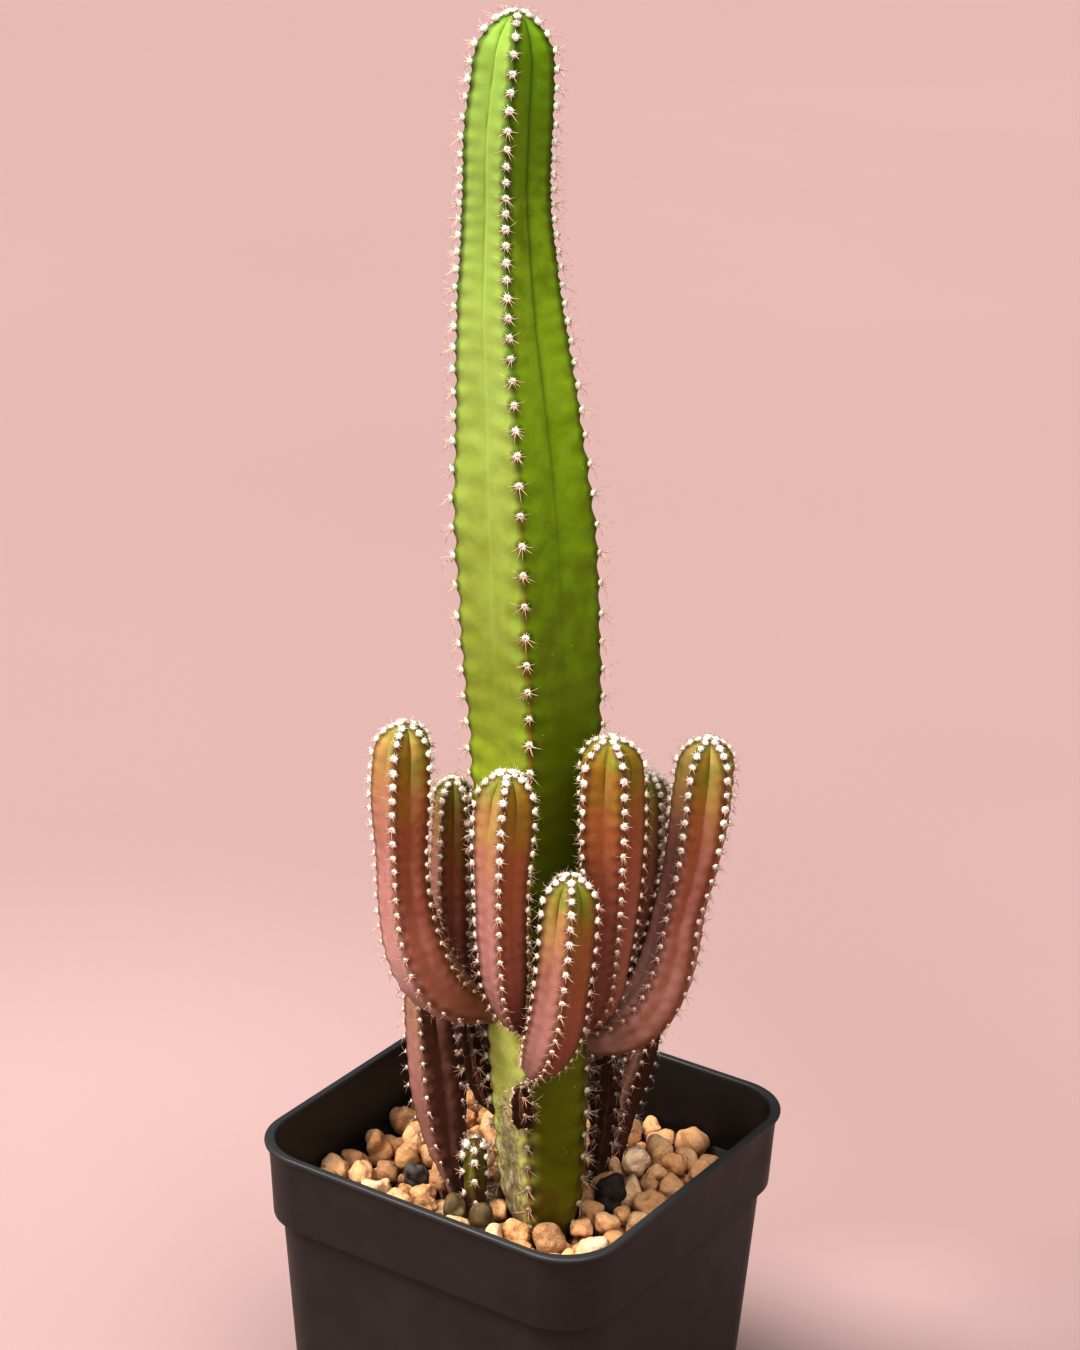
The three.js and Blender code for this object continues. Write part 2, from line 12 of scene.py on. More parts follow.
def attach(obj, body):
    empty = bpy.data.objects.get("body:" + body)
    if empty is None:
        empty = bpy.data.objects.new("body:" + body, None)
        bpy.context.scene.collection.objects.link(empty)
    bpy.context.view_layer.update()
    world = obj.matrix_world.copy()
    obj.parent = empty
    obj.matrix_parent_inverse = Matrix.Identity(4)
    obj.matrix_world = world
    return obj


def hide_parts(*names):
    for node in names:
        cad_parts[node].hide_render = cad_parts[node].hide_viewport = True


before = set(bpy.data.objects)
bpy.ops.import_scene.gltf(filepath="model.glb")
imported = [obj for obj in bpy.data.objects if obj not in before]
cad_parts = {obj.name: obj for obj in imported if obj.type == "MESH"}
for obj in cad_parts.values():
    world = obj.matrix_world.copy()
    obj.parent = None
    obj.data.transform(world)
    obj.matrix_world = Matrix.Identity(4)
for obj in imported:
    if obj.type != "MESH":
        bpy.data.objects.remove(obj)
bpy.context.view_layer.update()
MM = 0.001

# Driving dimensions of the pot
RIM_SIDE = 90
POT_HEIGHT = 90
POT_WALL = 1.5
POT_FLOOR = 2
LIP_OVERHANG = 0.7
LIP_WIDTH = 1.9
LIP_DEPTH = 1.4
LIP_ROUND = 0.65
INNER_ROUND = 0.5
BAND_ROUND = 0.35
BASE_ROUND = 0.8
BAND_HEIGHT = 18.6
BAND_TAPER = 0.8
BAND_STEP = 1.6
BASE_SIDE = 75.4
CORNER_RADIUS = 13.2
CORNER_STEPS = 14
DRAIN_RADIUS = 5
DRAIN_OFFSET = 21
DRILL_DEPTH = 6
SHARP_ANGLE = 35

# Driving dimensions of the gravel: the smallest, commonest and largest radius of a stone, the least
# and most of its three half sizes as shares of that, how far stones keep from one another, how flat
# they press together (a higher power is flatter), and the sizes and depths of the hills on them
STONE_RADIUS = (2.1, 2.9, 4.3)
STONE_AXES = ((1.05, 1.32), (0.9, 1.05), (0.76, 0.92))
STONE_GAP = 0.08
STONE_COUNT = 480
SEEN_ABOVE = 67.5
SETTLE_STEPS = 420
STONES_TOP = 76.2
STONES_RISE = 0.02
STONE_SHRINK = 0.95
PRESSING = 9
STONE_HILLS = (0.9, 0.5, 0.28)
STONE_RELIEF = (0.17, 0.15, 0.085)
MIX_TOP = 60

# How the stones settle: the space that they start in; how far they sink, stir and yield in a step;
# how closely they hug roots, mix and walls as shares of their radius, and how far above their middle
# they feel the wall; and how far a lid comes down on them
DROP_HALF = 39
DROP_FROM = 63
DROP_TO = 82
FALL = 0.12
LAST_FALL = 0.04
FALLING_SHARE = 0.8
STIR = 0.12
YIELD = 0.6
HUG = 0.9
WALL_HUG = 0.92
WALL_LOOK_UP = 2.5
LID_DROP = 14

# Driving dimensions of the plant, which is laid out in its own axes and turned whole
PLANT_TURN = math.radians(33.5)
FLANK_SWELL = 0.05
TWIST_EASE = 2.5
SAMPLES = 960
DOME_STEPS = 14
FLANK_STEPS = 8
LOWEST_AREOLE = 73.5
GROOVE_SOFTNESS = 0.3

# Relief and marks of the skin: widths of the dips across a rib and of the painted shade beside its
# crest, cork at a stem's foot, how deep in the column a branch starts, how areoles keep from feet and
# other stems and lean with the dome, and lumps as a share of the radius; then the way to the light,
# which the skin's painted light and shade follow, and the corky scar on the column
NOTCH_WIDTH = 1.5
RIPPLE_SHARE = 0.62
CREASE_WIDTH = 0.42
PAINTED_NOTCH_SHADE_WIDTH = 0.9
FOOT_CORK = 7
FOOT_SUNK = 0.72
FOOT_BARE = 0.8
CLEAR_SHARE = 0.93
CLEAR_GAP = 0.35
SLOPE_STEP = 0.2
STEEPEST = 6
SKIN_ROUGH = 0.007
WITHERED_ROUGH = 0.06
SUN_WAY = (-0.8, -0.6, 0)
SCAR = {"angle": -0.66, "spread": 0.55, "top": 106, "fade": 16}

# How each kind of stem grows: its ribs, the radius of the grooves between them at the root and the
# tip as shares of the crests', areole spacing as (distance from the tip, spacing), the radius of the
# wool at the tip and the root, spines to an areole and their lengths, and the relief of the skin
GROWTH = {
    "column": {
        "ribs": 5, "groove": (0.88, 0.72),
        "spacing": ((0, 1.9), (3, 2.4), (8, 3.7), (30, 3.6), (36, 2.9), (44, 2.9), (60, 4), (79, 5.3),
                    (103, 6.4), (135, 6.3), (164, 5.7), (224, 5.6), (240, 5.4), (294, 5.8)),
        "wool": (0.9, 0.82), "spines": 9, "spine": (1.7, 4.1), "spine_radius": 0.08,
        "rounding": 0.05, "notch": 0.43, "ripple": 0.3, "crease": (0.3, 170), "step": 0.8,
    },
    "branch": {
        "ribs": 5, "groove": (0.85, 0.72),
        "spacing": ((0, 1.7), (4, 2), (7, 3.2), (30, 3.3), (48, 3.1), (64, 3.7), (90, 4.4)),
        "wool": (0.9, 0.48), "spines": 6, "spine": (1.2, 2.6), "spine_radius": 0.07,
        "rounding": 0.12, "notch": 0.26, "ripple": 0.1, "crease": (0.5, 17), "step": 0.6,
    },
    "shoot": {
        "ribs": 5, "groove": (0.86, 0.76),
        "spacing": ((0, 1.3), (3, 1.7), (6, 2.8), (15, 3.4), (42, 4.9)),
        "wool": (0.56, 0.38), "spines": 5, "spine": (1.1, 2.6), "spine_radius": 0.065,
        "rounding": 0.1, "notch": 0.2, "ripple": 0.08, "crease": (0.4, 16), "step": 0.7,
    },
    "pup": {
        "ribs": 6, "groove": (0.85, 0.78),
        "spacing": ((0, 2.4), (3, 2.8), (6, 5), (30, 6)),
        "wool": (0.98, 0.42), "spines": 9, "spine": (1.3, 2.4), "spine_radius": 0.09,
        "rounding": 0.16, "notch": 0.24, "ripple": 0.1, "crease": (0.3, 8), "step": 0.45,
    },
    "withered": {
        "ribs": 5, "groove": (0.6, 0.6),
        "spacing": ((0, 2.2), (6, 4.2), (60, 5)),
        "wool": (0.46, 0.36), "spines": 9, "spine": (1.3, 2.8), "spine_radius": 0.08,
        "rounding": 0.1, "notch": 0.5, "ripple": 0.35, "crease": (0.2, 60), "step": 0.5,
    },
}

# Every stem: its turn at the root and the tip in degrees, the height of its dome, whether it is
# rooted in the mix, how far its skin's painted shade is shifted beyond its own form (painted light
# where the number is negative), and stations along its axis from root to tip as (x, y, z, distance
# to the rib crests). A stem's own ribs or grooves go before its kind's.
STEMS = {
    "main_stem": {
        "kind": "column", "turn": (-28, 0), "dome": 9, "rooted": True,
        "stations": (
            (4, -11, 42, 3.6), (4.1, -11, 58, 4.8), (4.3, -11, 70, 6.8), (4.4, -10.8, 76, 9),
            (4.4, -10.5, 84, 10.4), (3.6, -10, 100, 11.3), (2.4, -10, 130, 12.3),
            (1.4, -10, 160, 13.5), (0.4, -10, 190, 14.7), (-1.5, -10, 217, 15.5),
            (-3.4, -10, 242, 14.8), (-5.1, -10, 261, 13.2), (-6.8, -10, 280, 11.4),
            (-7.7, -10, 299, 9.6), (-7.7, -10, 314, 9.6), (-7, -10, 326, 8.8), (-6.4, -10, 336.5, 7.8),
        ),
    },
    "branch_far_left": {
        "kind": "branch", "turn": (-16, -16), "dome": 6.5, "painted_shade_shift": -0.12,
        "stations": (
            (-2, -11, 122.4, 3), (-9, -12.5, 124.2, 3.9), (-14.5, -14, 126.8, 5.7),
            (-20, -15.3, 132, 7.1), (-23.6, -16, 139.8, 7.2), (-25.9, -16, 150, 6.4),
            (-26.8, -16, 162, 6.1), (-27, -16, 175, 6.9), (-26.6, -16, 191.3, 6.2),
        ),
    },
    "branch_rear_left": {
        "kind": "branch", "turn": (-30, -30), "dome": 5,
        "stations": (
            (-2, -7, 119, 2.6), (-10.4, -4.6, 123.6, 3.5), (-15.8, -3, 132, 4.7),
            (-16.8, -2.8, 147, 5.1), (-16.9, -2.8, 160, 4.9), (-17, -2.9, 173.4, 4.2),
        ),
    },
    "branch_front_left": {
        "kind": "branch", "turn": (-5, -5), "dome": 6,
        "stations": (
            (0, -14, 120.5, 1.8), (-1.8, -20.5, 124.5, 2.2), (-3.6, -26, 131, 3.4),
            (-4.8, -30, 140, 5.1), (-5.5, -32.6, 151, 5.6), (-5.9, -34, 164, 5.9),
            (-5.7, -34, 176, 6.5), (-5.1, -34, 188.6, 6),
        ),
    },
    "branch_front_low": {
        "kind": "branch", "turn": (-6, 4), "groove": (0.88, 0.72), "dome": 6,
        "stations": (
            (0.6, -15, 112.8, 2.4), (1.8, -21.5, 115.2, 3), (3.2, -26.6, 119.4, 4.4),
            (4.7, -30.6, 125.8, 5.8), (6, -33.4, 133.4, 6.2), (6.8, -35.6, 142.6, 6),
            (7.6, -36.8, 153, 6.1), (8.1, -37, 167.3, 5.8),
        ),
    },
    "branch_front_right": {
        "kind": "branch", "turn": (8, 22), "dome": 6.5, "painted_shade_shift": 0.32,
        "stations": (
            (4, -12.5, 119.5, 2.8), (12.5, -17.2, 124.4, 3.2), (15.9, -21, 132.5, 4),
            (16.3, -24.4, 144, 5.2), (16.4, -26.2, 157, 6.2), (16, -27, 170, 7.2),
            (15.8, -27, 182, 7.3), (15.5, -27, 193.7, 6.6),
        ),
    },
    "branch_rear_right": {
        "kind": "branch", "turn": (36, 36), "dome": 5,
        "stations": (
            (5, -7, 121.5, 2.8), (12.8, -5.4, 124.5, 3.6), (18.6, -5, 130, 4.3),
            (22.8, -5, 141, 4.5), (24.7, -5, 155, 4.5), (24.4, -5, 176.4, 4.2),
        ),
    },
    "branch_far_right": {
        "kind": "branch", "turn": (-32, -32), "groove": (0.88, 0.72), "dome": 6.5, "painted_shade_shift": -0.06,
        "stations": (
            (5, -11.5, 117.6, 3), (12.2, -12.6, 118.2, 4.2), (18.2, -14, 120.2, 5.8),
            (24, -15, 125, 6.9), (28.2, -15, 132.2, 6.9), (30.4, -15, 141, 6.4),
            (31.7, -15, 150, 5.9), (33.8, -15, 160.5, 6.3), (35.1, -15, 172, 6.8),
            (36.2, -15, 189, 6.2),
        ),
    },
    "basal_shoot_left": {
        "kind": "shoot", "turn": (-30, -20), "dome": 6, "painted_shade_shift": -0.1, "rooted": True,
        "stations": (
            (-11, -4, 56, 2), (-13, -3.4, 68, 2.4), (-14.9, -3, 76, 3.2), (-17.2, -3, 85.4, 5),
            (-18.9, -3, 97.5, 6.5), (-20.4, -2.8, 110, 6.4), (-22, -2.4, 126, 5.6),
        ),
    },
    "basal_shoot_right": {
        "kind": "shoot", "turn": (0, 0), "dome": 4, "rooted": True,
        "stations": (
            (17, 14, 56, 1.8), (18.7, 14, 68, 2.4), (20.6, 14, 78, 3), (22.6, 14, 88, 3.4),
            (25.6, 13.8, 99, 3.4), (27.6, 13.4, 109, 3),
        ),
    },
    "pup": {
        "kind": "pup", "turn": (0, 0), "dome": 3.4, "rooted": True,
        "stations": (
            (-9.6, -8.4, 62, 1.4), (-10.2, -8.8, 71, 2), (-10.8, -9, 80, 3), (-11, -9, 90, 2.9),
        ),
    },
    "withered_bud": {
        "kind": "withered", "turn": (0, 20), "dome": 2.5,
        "stations": (
            (1, -14, 99, 1.4), (-0.4, -22.2, 102, 2.1), (-1, -24.6, 107, 2.6), (-1.2, -25, 112.6, 1.9),
        ),
    },
    "withered_shoot_right": {
        "kind": "withered", "turn": (0, 40), "dome": 3, "rooted": True,
        "stations": (
            (16, 5, 58, 1.6), (16.6, 5, 72, 2.6), (17.2, 3.6, 84, 3.2), (17.8, 1.4, 97, 3.4),
            (17.2, -1.4, 109, 2.4),
        ),
    },
    "withered_shoot_left": {
        "kind": "withered", "turn": (0, 30), "dome": 2.5,
        "stations": (
            (0, -9, 94, 1.6), (-8.6, -8.2, 99.5, 2.2), (-11.4, -7.6, 107, 2.7), (-13.4, -7, 118, 1.8),
        ),
    },
}

# Single stones of another colour: middle in the plant's axes, half sizes, and how much rougher than
# the others
ODD_STONES = {
    "grey_stone": {"slot": "grey_stone", "middle": (-24.6, 4, 73.4), "size": (4.2, 3.8, 3.2)},
    "olive_stone_left": {"slot": "olive_stone", "middle": (-14.6, -10.6, 72.6), "size": (3.6, 2.8, 2.8)},
    "olive_stone_right": {"slot": "olive_stone", "middle": (-8.6, -15.2, 73), "size": (3, 3.2, 3.6)},
    "charcoal_lump": {"slot": "charcoal", "middle": (19, -7, 74), "size": (3.4, 3, 3.4), "rough": 2.2},
}


def unit(vectors):
    """Vectors made one long."""
    return vectors / np.linalg.norm(vectors, axis=-1, keepdims=True)


def smooth_step(low, high, value):
    """An eased share of the way from low to high."""
    share = np.clip((value - low) / (high - low), 0, 1)
    return share * share * (3 - 2 * share)


def turned(points):
    """Points of the plant's axes in the pot's axes."""
    c, s = math.cos(PLANT_TURN), math.sin(PLANT_TURN)
    x, y, z = np.moveaxis(np.asarray(points, float), -1, 0)
    return np.stack([c * x - s * y, s * x + c * y, z], -1)


# Meshes
def add_piece(name, points, faces, material, node, marks=None):
    """A mesh piece that stands for a node; marks are one number a point, for its material."""
    mesh = bpy.data.meshes.new(name)
    mesh.from_pydata((np.asarray(points) * MM).tolist(), [], [list(face) for face in faces])
    for mark, values in (marks or {}).items():
        layer = mesh.attributes.new(mark, "FLOAT", "POINT")
        layer.data.foreach_set("value", np.asarray(values, np.float32).ravel())
    mesh.polygons.foreach_set("use_smooth", [True] * len(mesh.polygons))
    mesh.materials.append(material)
    mesh.update()
    piece = bpy.data.objects.new(name, mesh)
    bpy.context.scene.collection.objects.link(piece)
    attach(piece, "root")
    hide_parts(node)
    return piece


def grid_faces(rows, columns):
    """Quads between rings of points, the first ring first."""
    row, column = np.meshgrid(np.arange(rows - 1), np.arange(columns), indexing="ij")
    after = (column + 1) % columns
    low = row * columns
    high = low + columns
    return np.stack([low + column, low + after, high + after, high + column], -1).reshape(-1, 4)


def fan_faces(middle, start, columns, outward):
    """Triangles from a middle point to the ring of points that begins at start."""
    ring = [start + k for k in range(columns)]
    pairs = zip(ring, ring[1:] + ring[:1])
    return [(middle, b, a) if outward else (middle, a, b) for a, b in pairs]


def tube_faces(rows, columns):
    """Rings of points closed at both ends, with a middle point for each end after the rings."""
    last = rows * columns
    faces = grid_faces(rows, columns).tolist()
    faces += fan_faces(last, 0, columns, True)
    return faces + fan_faces(last + 1, last - columns, columns, False)


# Stems
def catmull_rom(stations, t):
    """Places and slopes on a uniform Catmull-Rom curve with its ends carried on."""
    last = len(stations) - 1
    ghosts = np.vstack([2 * stations[0] - stations[1], stations, 2 * stations[-1] - stations[-2]])
    segment = np.minimum((t * last).astype(int), last - 1)
    u = (t * last - segment)[:, None]
    p0, p1, p2, p3 = (ghosts[segment + k] for k in range(4))
    t1, t2 = (p2 - p0) / 2, (p3 - p1) / 2
    c2 = 3 * (p2 - p1) - 2 * t1 - t2
    c3 = 2 * (p1 - p2) + t1 + t2
    return p1 + u * (t1 + u * (c2 + u * c3)), t1 + u * (2 * c2 + 3 * u * c3)


class Stem:
    """One stem, looked up by the distance from its tip."""

    def __init__(self, name, spec):
        self.name = name
        self.spec = {**GROWTH[spec["kind"]], **spec}
        self.rng = np.random.default_rng(sum(name.encode()))
        stations = np.array(spec["stations"], float)
        places, slopes = catmull_rom(stations, np.linspace(0, 1, SAMPLES + 1))
        self.points = places[::-1, :3]
        self.tangents = unit(slopes[::-1, :3])
        self.crests = places[::-1, 3]
        steps = np.linalg.norm(np.diff(self.points, axis=0), axis=1)
        self.run = np.concatenate([[0], np.cumsum(steps)])
        self.length = self.run[-1]
        self.foot = self.length
        self.areoles = self.areole_run()
        self.waves = self.rng.uniform(0, 2 * math.pi, 6)
        self.phases = self.rng.uniform(0, 1, self.spec["ribs"])

    def along(self, values, distance):
        return np.stack([np.interp(distance, self.run, column) for column in values.T], -1)

    def crest(self, distance):
        depth = 1 - np.clip(distance / self.spec["dome"], 0, 1)
        return np.interp(distance, self.run, self.crests) * np.sqrt(1 - depth * depth)

    def frame(self, distance):
        """Place, tangent, front and side of the axis, the last two turned with the ribs."""
        tangent = unit(self.along(self.tangents, distance))
        front = unit(np.array([0, -1, 0]) + tangent * tangent[:, 1:2])
        side = np.cross(tangent, front)
        down = distance / self.length
        root, tip = self.spec["turn"]
        turn = np.radians(tip + (root - tip) * down ** TWIST_EASE)[:, None]
        return (self.along(self.points, distance), tangent,
                np.cos(turn) * front + np.sin(turn) * side,
                np.cos(turn) * side - np.sin(turn) * front)

    def areole_run(self):
        """Distances of a rib's areoles, spaced along its crest with a little irregularity."""
        dome = self.spec["dome"]
        fine = np.concatenate([dome * (1 - np.cos(np.linspace(0, math.pi / 2, 200))),
                               np.linspace(dome, self.length, 400)[1:]])
        steps = np.hypot(np.diff(fine), np.diff(self.crest(fine)))
        crest_run = np.concatenate([[0], np.cumsum(steps)])
        reach, gaps = np.array(self.spec["spacing"], float).T
        places = [0.3 * gaps[0]]
        while places[-1] < crest_run[-1]:
            gap = np.interp(places[-1], reach, gaps) * self.rng.uniform(0.92, 1.08)
            places.append(places[-1] + gap)
        return np.interp(places, crest_run, fine)

    def rib_of(self, angle):
        """The rib that an angle lies on, and how far it is from that rib's crest."""
        half = math.pi / self.spec["ribs"]
        rib = np.round(angle / (2 * half)).astype(int)
        return rib % self.spec["ribs"], angle - 2 * half * rib

    def section(self, distance, signed):
        """Radius between a rib's crest and its groove, both a little rounded."""
        half = math.pi / self.spec["ribs"]
        blunt = self.spec["rounding"]
        off = np.sqrt(signed ** 2 + blunt ** 2) - blunt
        off = off * half / (math.sqrt(half ** 2 + blunt ** 2) - blunt)
        back = np.sqrt((1 - off / half) ** 2 + GROOVE_SOFTNESS ** 2) - GROOVE_SOFTNESS
        off = half * (1 - back / (math.sqrt(1 + GROOVE_SOFTNESS ** 2) - GROOVE_SOFTNESS))
        crest = self.crest(distance)
        root, tip = self.spec["groove"]
        valley = crest * (tip + (root - tip) * distance / self.length)
        flank = crest * valley * math.sin(half) / (crest * np.sin(off) + valley * np.sin(half - off))
        return flank * (1 + FLANK_SWELL * np.sin(math.pi * off / half))

    def skin(self, distance, angle):
        """Radius of the skin and its marks, at distances (n, 1) and angles (1, m)."""
        spec = self.spec
        half = math.pi / spec["ribs"]
        rib, signed = self.rib_of(angle)
        off = np.abs(signed)
        crest = self.crest(distance)
        radius = self.section(distance, signed)

        count = np.arange(len(self.areoles))
        index = np.interp(distance, self.areoles, count) - self.phases[rib]
        wave = 0.5 - 0.5 * np.cos(2 * math.pi * index)
        size = np.minimum(crest / 5, 1)
        at_crest = np.exp(-(off * crest / NOTCH_WIDTH) ** 2)
        on_flank = np.exp(-(off / (RIPPLE_SHARE * half)) ** 2)
        radius = radius - size * wave * (spec["notch"] * at_crest + spec["ripple"] * on_flank)

        depth, reach = spec["crease"]
        fade = 1 - smooth_step(0.15 * reach, reach, distance)
        crease = np.exp(-(half - off) * crest / CREASE_WIDTH) * fade
        radius = radius - size * depth * crease

        a, b, c, d, e, f = self.waves
        lumps = np.sin(distance / 5.1 + a + 2 * angle) + np.sin(distance / 8.3 + b - 3 * angle)
        lumps = lumps + 0.6 * np.sin(distance / 2.3 + c + angle) * np.sin(5 * angle + d)
        wrinkle = np.sin(distance / 1.1 + e + 3 * angle) * np.sin(9 * angle + f)
        rough = WITHERED_ROUGH if spec["kind"] == "withered" else SKIN_ROUGH
        radius = radius + crest * rough * (lumps + 0.5 * wrinkle)

        gaps = np.interp(distance, self.areoles, np.gradient(self.areoles))
        near = np.abs(index - np.round(index)) * gaps
        return radius, {
            "from_tip": distance + 0 * off,
            "crest_mm": off * crest,
            "areole_mm": np.hypot(near, off * crest),
            # Painted shade: darkening in the dips between areoles beside the crest
            "notch": wave * np.exp(-(off * crest / PAINTED_NOTCH_SHADE_WIDTH) ** 2),
            "crease": crease + 0 * distance,
            "foot": np.clip(1 - (self.foot - distance) / FOOT_CORK, 0, 1) + 0 * off,
            "scar": self.scar(distance, angle),
        }

    def scar(self, distance, angle):
        """Share of corky skin, on one face at the column's foot."""
        if self.spec["kind"] != "column":
            return 0 * distance * angle
        height = np.interp(distance, self.run, self.points[:, 2])
        away = np.angle(np.exp(1j * (angle - SCAR["angle"])))
        across = np.exp(-(away / SCAR["spread"]) ** 4)
        return across * smooth_step(SCAR["top"] + SCAR["fade"], SCAR["top"] - SCAR["fade"], height)

    def place(self, distance, angle):
        """Points on the skin and their marks, ring by ring."""
        middle, _, front, side = self.frame(distance)
        radius, marks = self.skin(distance[:, None], angle[None, :])
        ring = np.cos(angle)[None, :, None] * front[:, None] + np.sin(angle)[None, :, None] * side[:, None]
        points = middle[:, None] + radius[..., None] * ring
        around = np.roll(points, -1, axis=1) - np.roll(points, 1, axis=1)
        outwards = unit(np.cross(np.gradient(points, axis=0), around))
        # Painted light and shade: how the skin faces the light picks its sunny or shaded tones, and a stem's
        # shift adds painted shade, or painted light where it is negative
        marks["sunny"] = outwards @ np.array(SUN_WAY) - self.spec.get("painted_shade_shift", 0)
        return points, marks


stems = {name: Stem(name, spec) for name, spec in STEMS.items()}
main = stems["main_stem"]


def settle_foot(stem):
    """A branch starts a little inside the skin of the column that it grows from."""
    for distance, point in zip(stem.run, stem.points):
        near = np.argmin(np.linalg.norm(main.points - point, axis=1))
        if np.linalg.norm(main.points[near] - point) < FOOT_SUNK * main.crests[near]:
            stem.foot = distance
            return


def rib_angles(ribs):
    """Angles round a stem, closer together at the crests and in the grooves."""
    half = math.pi / ribs
    share = 0.5 - 0.5 * np.cos(np.linspace(0, math.pi, FLANK_STEPS + 1))
    one = np.concatenate([-share[:0:-1], share[:-1]]) * half
    return np.concatenate([one + 2 * half * rib for rib in range(ribs)])


def make_skin(stem, material):
    """The ribbed skin: rings from the dome to the foot, closed at both ends."""
    dome = stem.spec["dome"]
    on_dome = dome * (1 - np.cos(np.linspace(0.1, math.pi / 2, DOME_STEPS)))
    count = max(int((stem.foot - dome) / stem.spec["step"]), 2)
    distance = np.concatenate([on_dome, np.linspace(dome, stem.foot, count + 1)[1:]])
    angle = rib_angles(stem.spec["ribs"])
    rings, marks = stem.place(distance, angle)
    rows, columns = len(distance), len(angle)
    ends, _, _, _ = stem.frame(np.array([0, stem.foot]))
    points = np.concatenate([rings.reshape(-1, 3), ends])
    faces = [face[::-1] for face in tube_faces(rows, columns)]
    flat = {}
    for mark, values in marks.items():
        full = np.broadcast_to(values, (rows, columns))
        flat[mark] = np.concatenate([full.ravel(), [full[0].mean(), full[-1].mean()]])
    add_piece(stem.name + "_skin", turned(points), faces, material, stem.name, flat)


def areole_frames(stem, others):
    """Where each areole sits, the way it faces, along and across the rib, and its distance."""
    ribs = stem.spec["ribs"]
    count = np.arange(len(stem.areoles))
    found = []
    for rib in range(ribs):
        distance = np.interp(count[:-1] + stem.phases[rib], count, stem.areoles)
        distance = distance[distance < stem.foot - FOOT_BARE]
        angle = 2 * math.pi * rib / ribs
        middle, tangent, front, side = stem.frame(distance)
        radius, _ = stem.skin(distance[:, None], np.array([[angle]]))
        radial = math.cos(angle) * front + math.sin(angle) * side
        slope = (stem.crest(distance + SLOPE_STEP) - stem.crest(distance)) / SLOPE_STEP
        out = unit(radial + tangent * np.minimum(slope, STEEPEST)[:, None])
        across = unit(np.cross(out, tangent))
        along = np.cross(across, out)
        spot = middle + radius * radial
        keep = spot[:, 2] > LOWEST_AREOLE
        for other in others:
            away = np.linalg.norm(spot[:, None] - other.points[None, ::8], axis=2)
            keep &= (away > CLEAR_SHARE * other.crests[None, ::8] + CLEAR_GAP).all(axis=1)
        found += [row for row, kept in zip(zip(spot, out, along, across, distance), keep) if kept]
    return [np.array(column) for column in zip(*found)]


# Wool and spines: a tuft's outline as (distance from its middle, height) and its star of bristles,
# the heights between which the column's wool browns, and how spines fan out, lift and bow, with
# their rings as (share of the length, share of the radius)
WOOL_SIDES = 9
WOOL_RAYS = 12
WOOL_PROFILE = ((0, 0.42), (0.2, 0.48), (0.42, 0.62), (0.68, 0.48), (0.82, 0.16), (0.76, -0.4))
WOOL_KINDS = 8
RAY_RADIUS = 0.15
RAY_LENGTH = (0.6, 1.35)
OLD_WOOL = (84, 112)
OLD_SWELL = 0.12
SPINE_SHARE = (0.6, 1.1)
SPINE_FAN = 2.3
SPINE_LIFT = (0.15, 0.9)
SPINE_ROOT = 0.25
SPINE_BOW = 0.1
SPINE_RINGS = ((0, 1), (0.55, 0.75))
LONG_SPINES = 0.12
LONGER = 1.3


def add_needle(points, faces, way, helper, path, radii):
    """A closed three-sided needle, from rings along a path to its tip."""
    u = unit(np.cross(way, helper))
    v = np.cross(way, u)
    start = len(points)
    for centre, radius in zip(path, radii):
        for angle in 2 * math.pi * np.arange(3) / 3:
            points.append(centre + radius * (math.cos(angle) * u + math.sin(angle) * v))
    points.append(path[-1])
    last = len(points) - 4
    for side in range(3):
        after = (side + 1) % 3
        for low in range(start, last, 3):
            faces.append((low + side, low + after, low + 3 + after, low + 3 + side))
        faces.append((last + side, last + after, last + 3))
    faces.append((start + 2, start + 1, start))


def wool_tuft(rng):
    """A cushion of wool with a dot in its middle and a star of bristles: points, faces and marks."""
    points = [(0, 0, WOOL_PROFILE[0][1])]
    pit = [1]
    swell = rng.uniform(0.85, 1.12, WOOL_SIDES)
    for reach, height in WOOL_PROFILE[1:]:
        for k in range(WOOL_SIDES):
            angle = 2 * math.pi * (k + rng.uniform(-0.2, 0.2)) / WOOL_SIDES
            radius = reach * swell[k] * rng.uniform(0.92, 1.08)
            rise = height * rng.uniform(0.85, 1.15)
            points.append((radius * math.cos(angle), radius * math.sin(angle), rise))
            pit.append(0.6 if reach < 0.3 else 0)
    rings = len(WOOL_PROFILE) - 1
    faces = fan_faces(0, 1, WOOL_SIDES, False)
    for ring in range(rings - 1):
        for k in range(WOOL_SIDES):
            after = (k + 1) % WOOL_SIDES
            low, high = 1 + ring * WOOL_SIDES, 1 + (ring + 1) * WOOL_SIDES
            faces += [(low + k, high + k, high + after), (low + k, high + after, low + after)]
    points.append((0, 0, WOOL_PROFILE[-1][1]))
    pit.append(0)
    faces += fan_faces(len(points) - 1, 1 + (rings - 1) * WOOL_SIDES, WOOL_SIDES, True)
    for ray in range(WOOL_RAYS):
        angle = 2 * math.pi * (ray + rng.uniform(-0.3, 0.3)) / WOOL_RAYS
        way = unit(np.array([math.cos(angle), math.sin(angle), rng.uniform(0.05, 0.8)]))
        helper = np.array([0.3, 0.2, 1]) if abs(way[2]) < 0.9 else np.array([1, 0.2, 0])
        root = 0.5 * way
        tip = root + rng.uniform(*RAY_LENGTH) * way
        add_needle(points, faces, way, helper, (root, tip), (RAY_RADIUS,))
        pit += [0] * 4
    return np.array(points), faces, np.array(pit)


tuft_rng = np.random.default_rng(5)
tufts = [wool_tuft(tuft_rng) for _ in range(WOOL_KINDS)]


def browned(stem, height):
    """How far wool and spines have browned: low on the column, and a little on withered shoots."""
    if stem.spec["kind"] == "column":
        return smooth_step(OLD_WOOL[1], OLD_WOOL[0], height)
    return 0.5 * (stem.spec["kind"] == "withered") + 0 * height


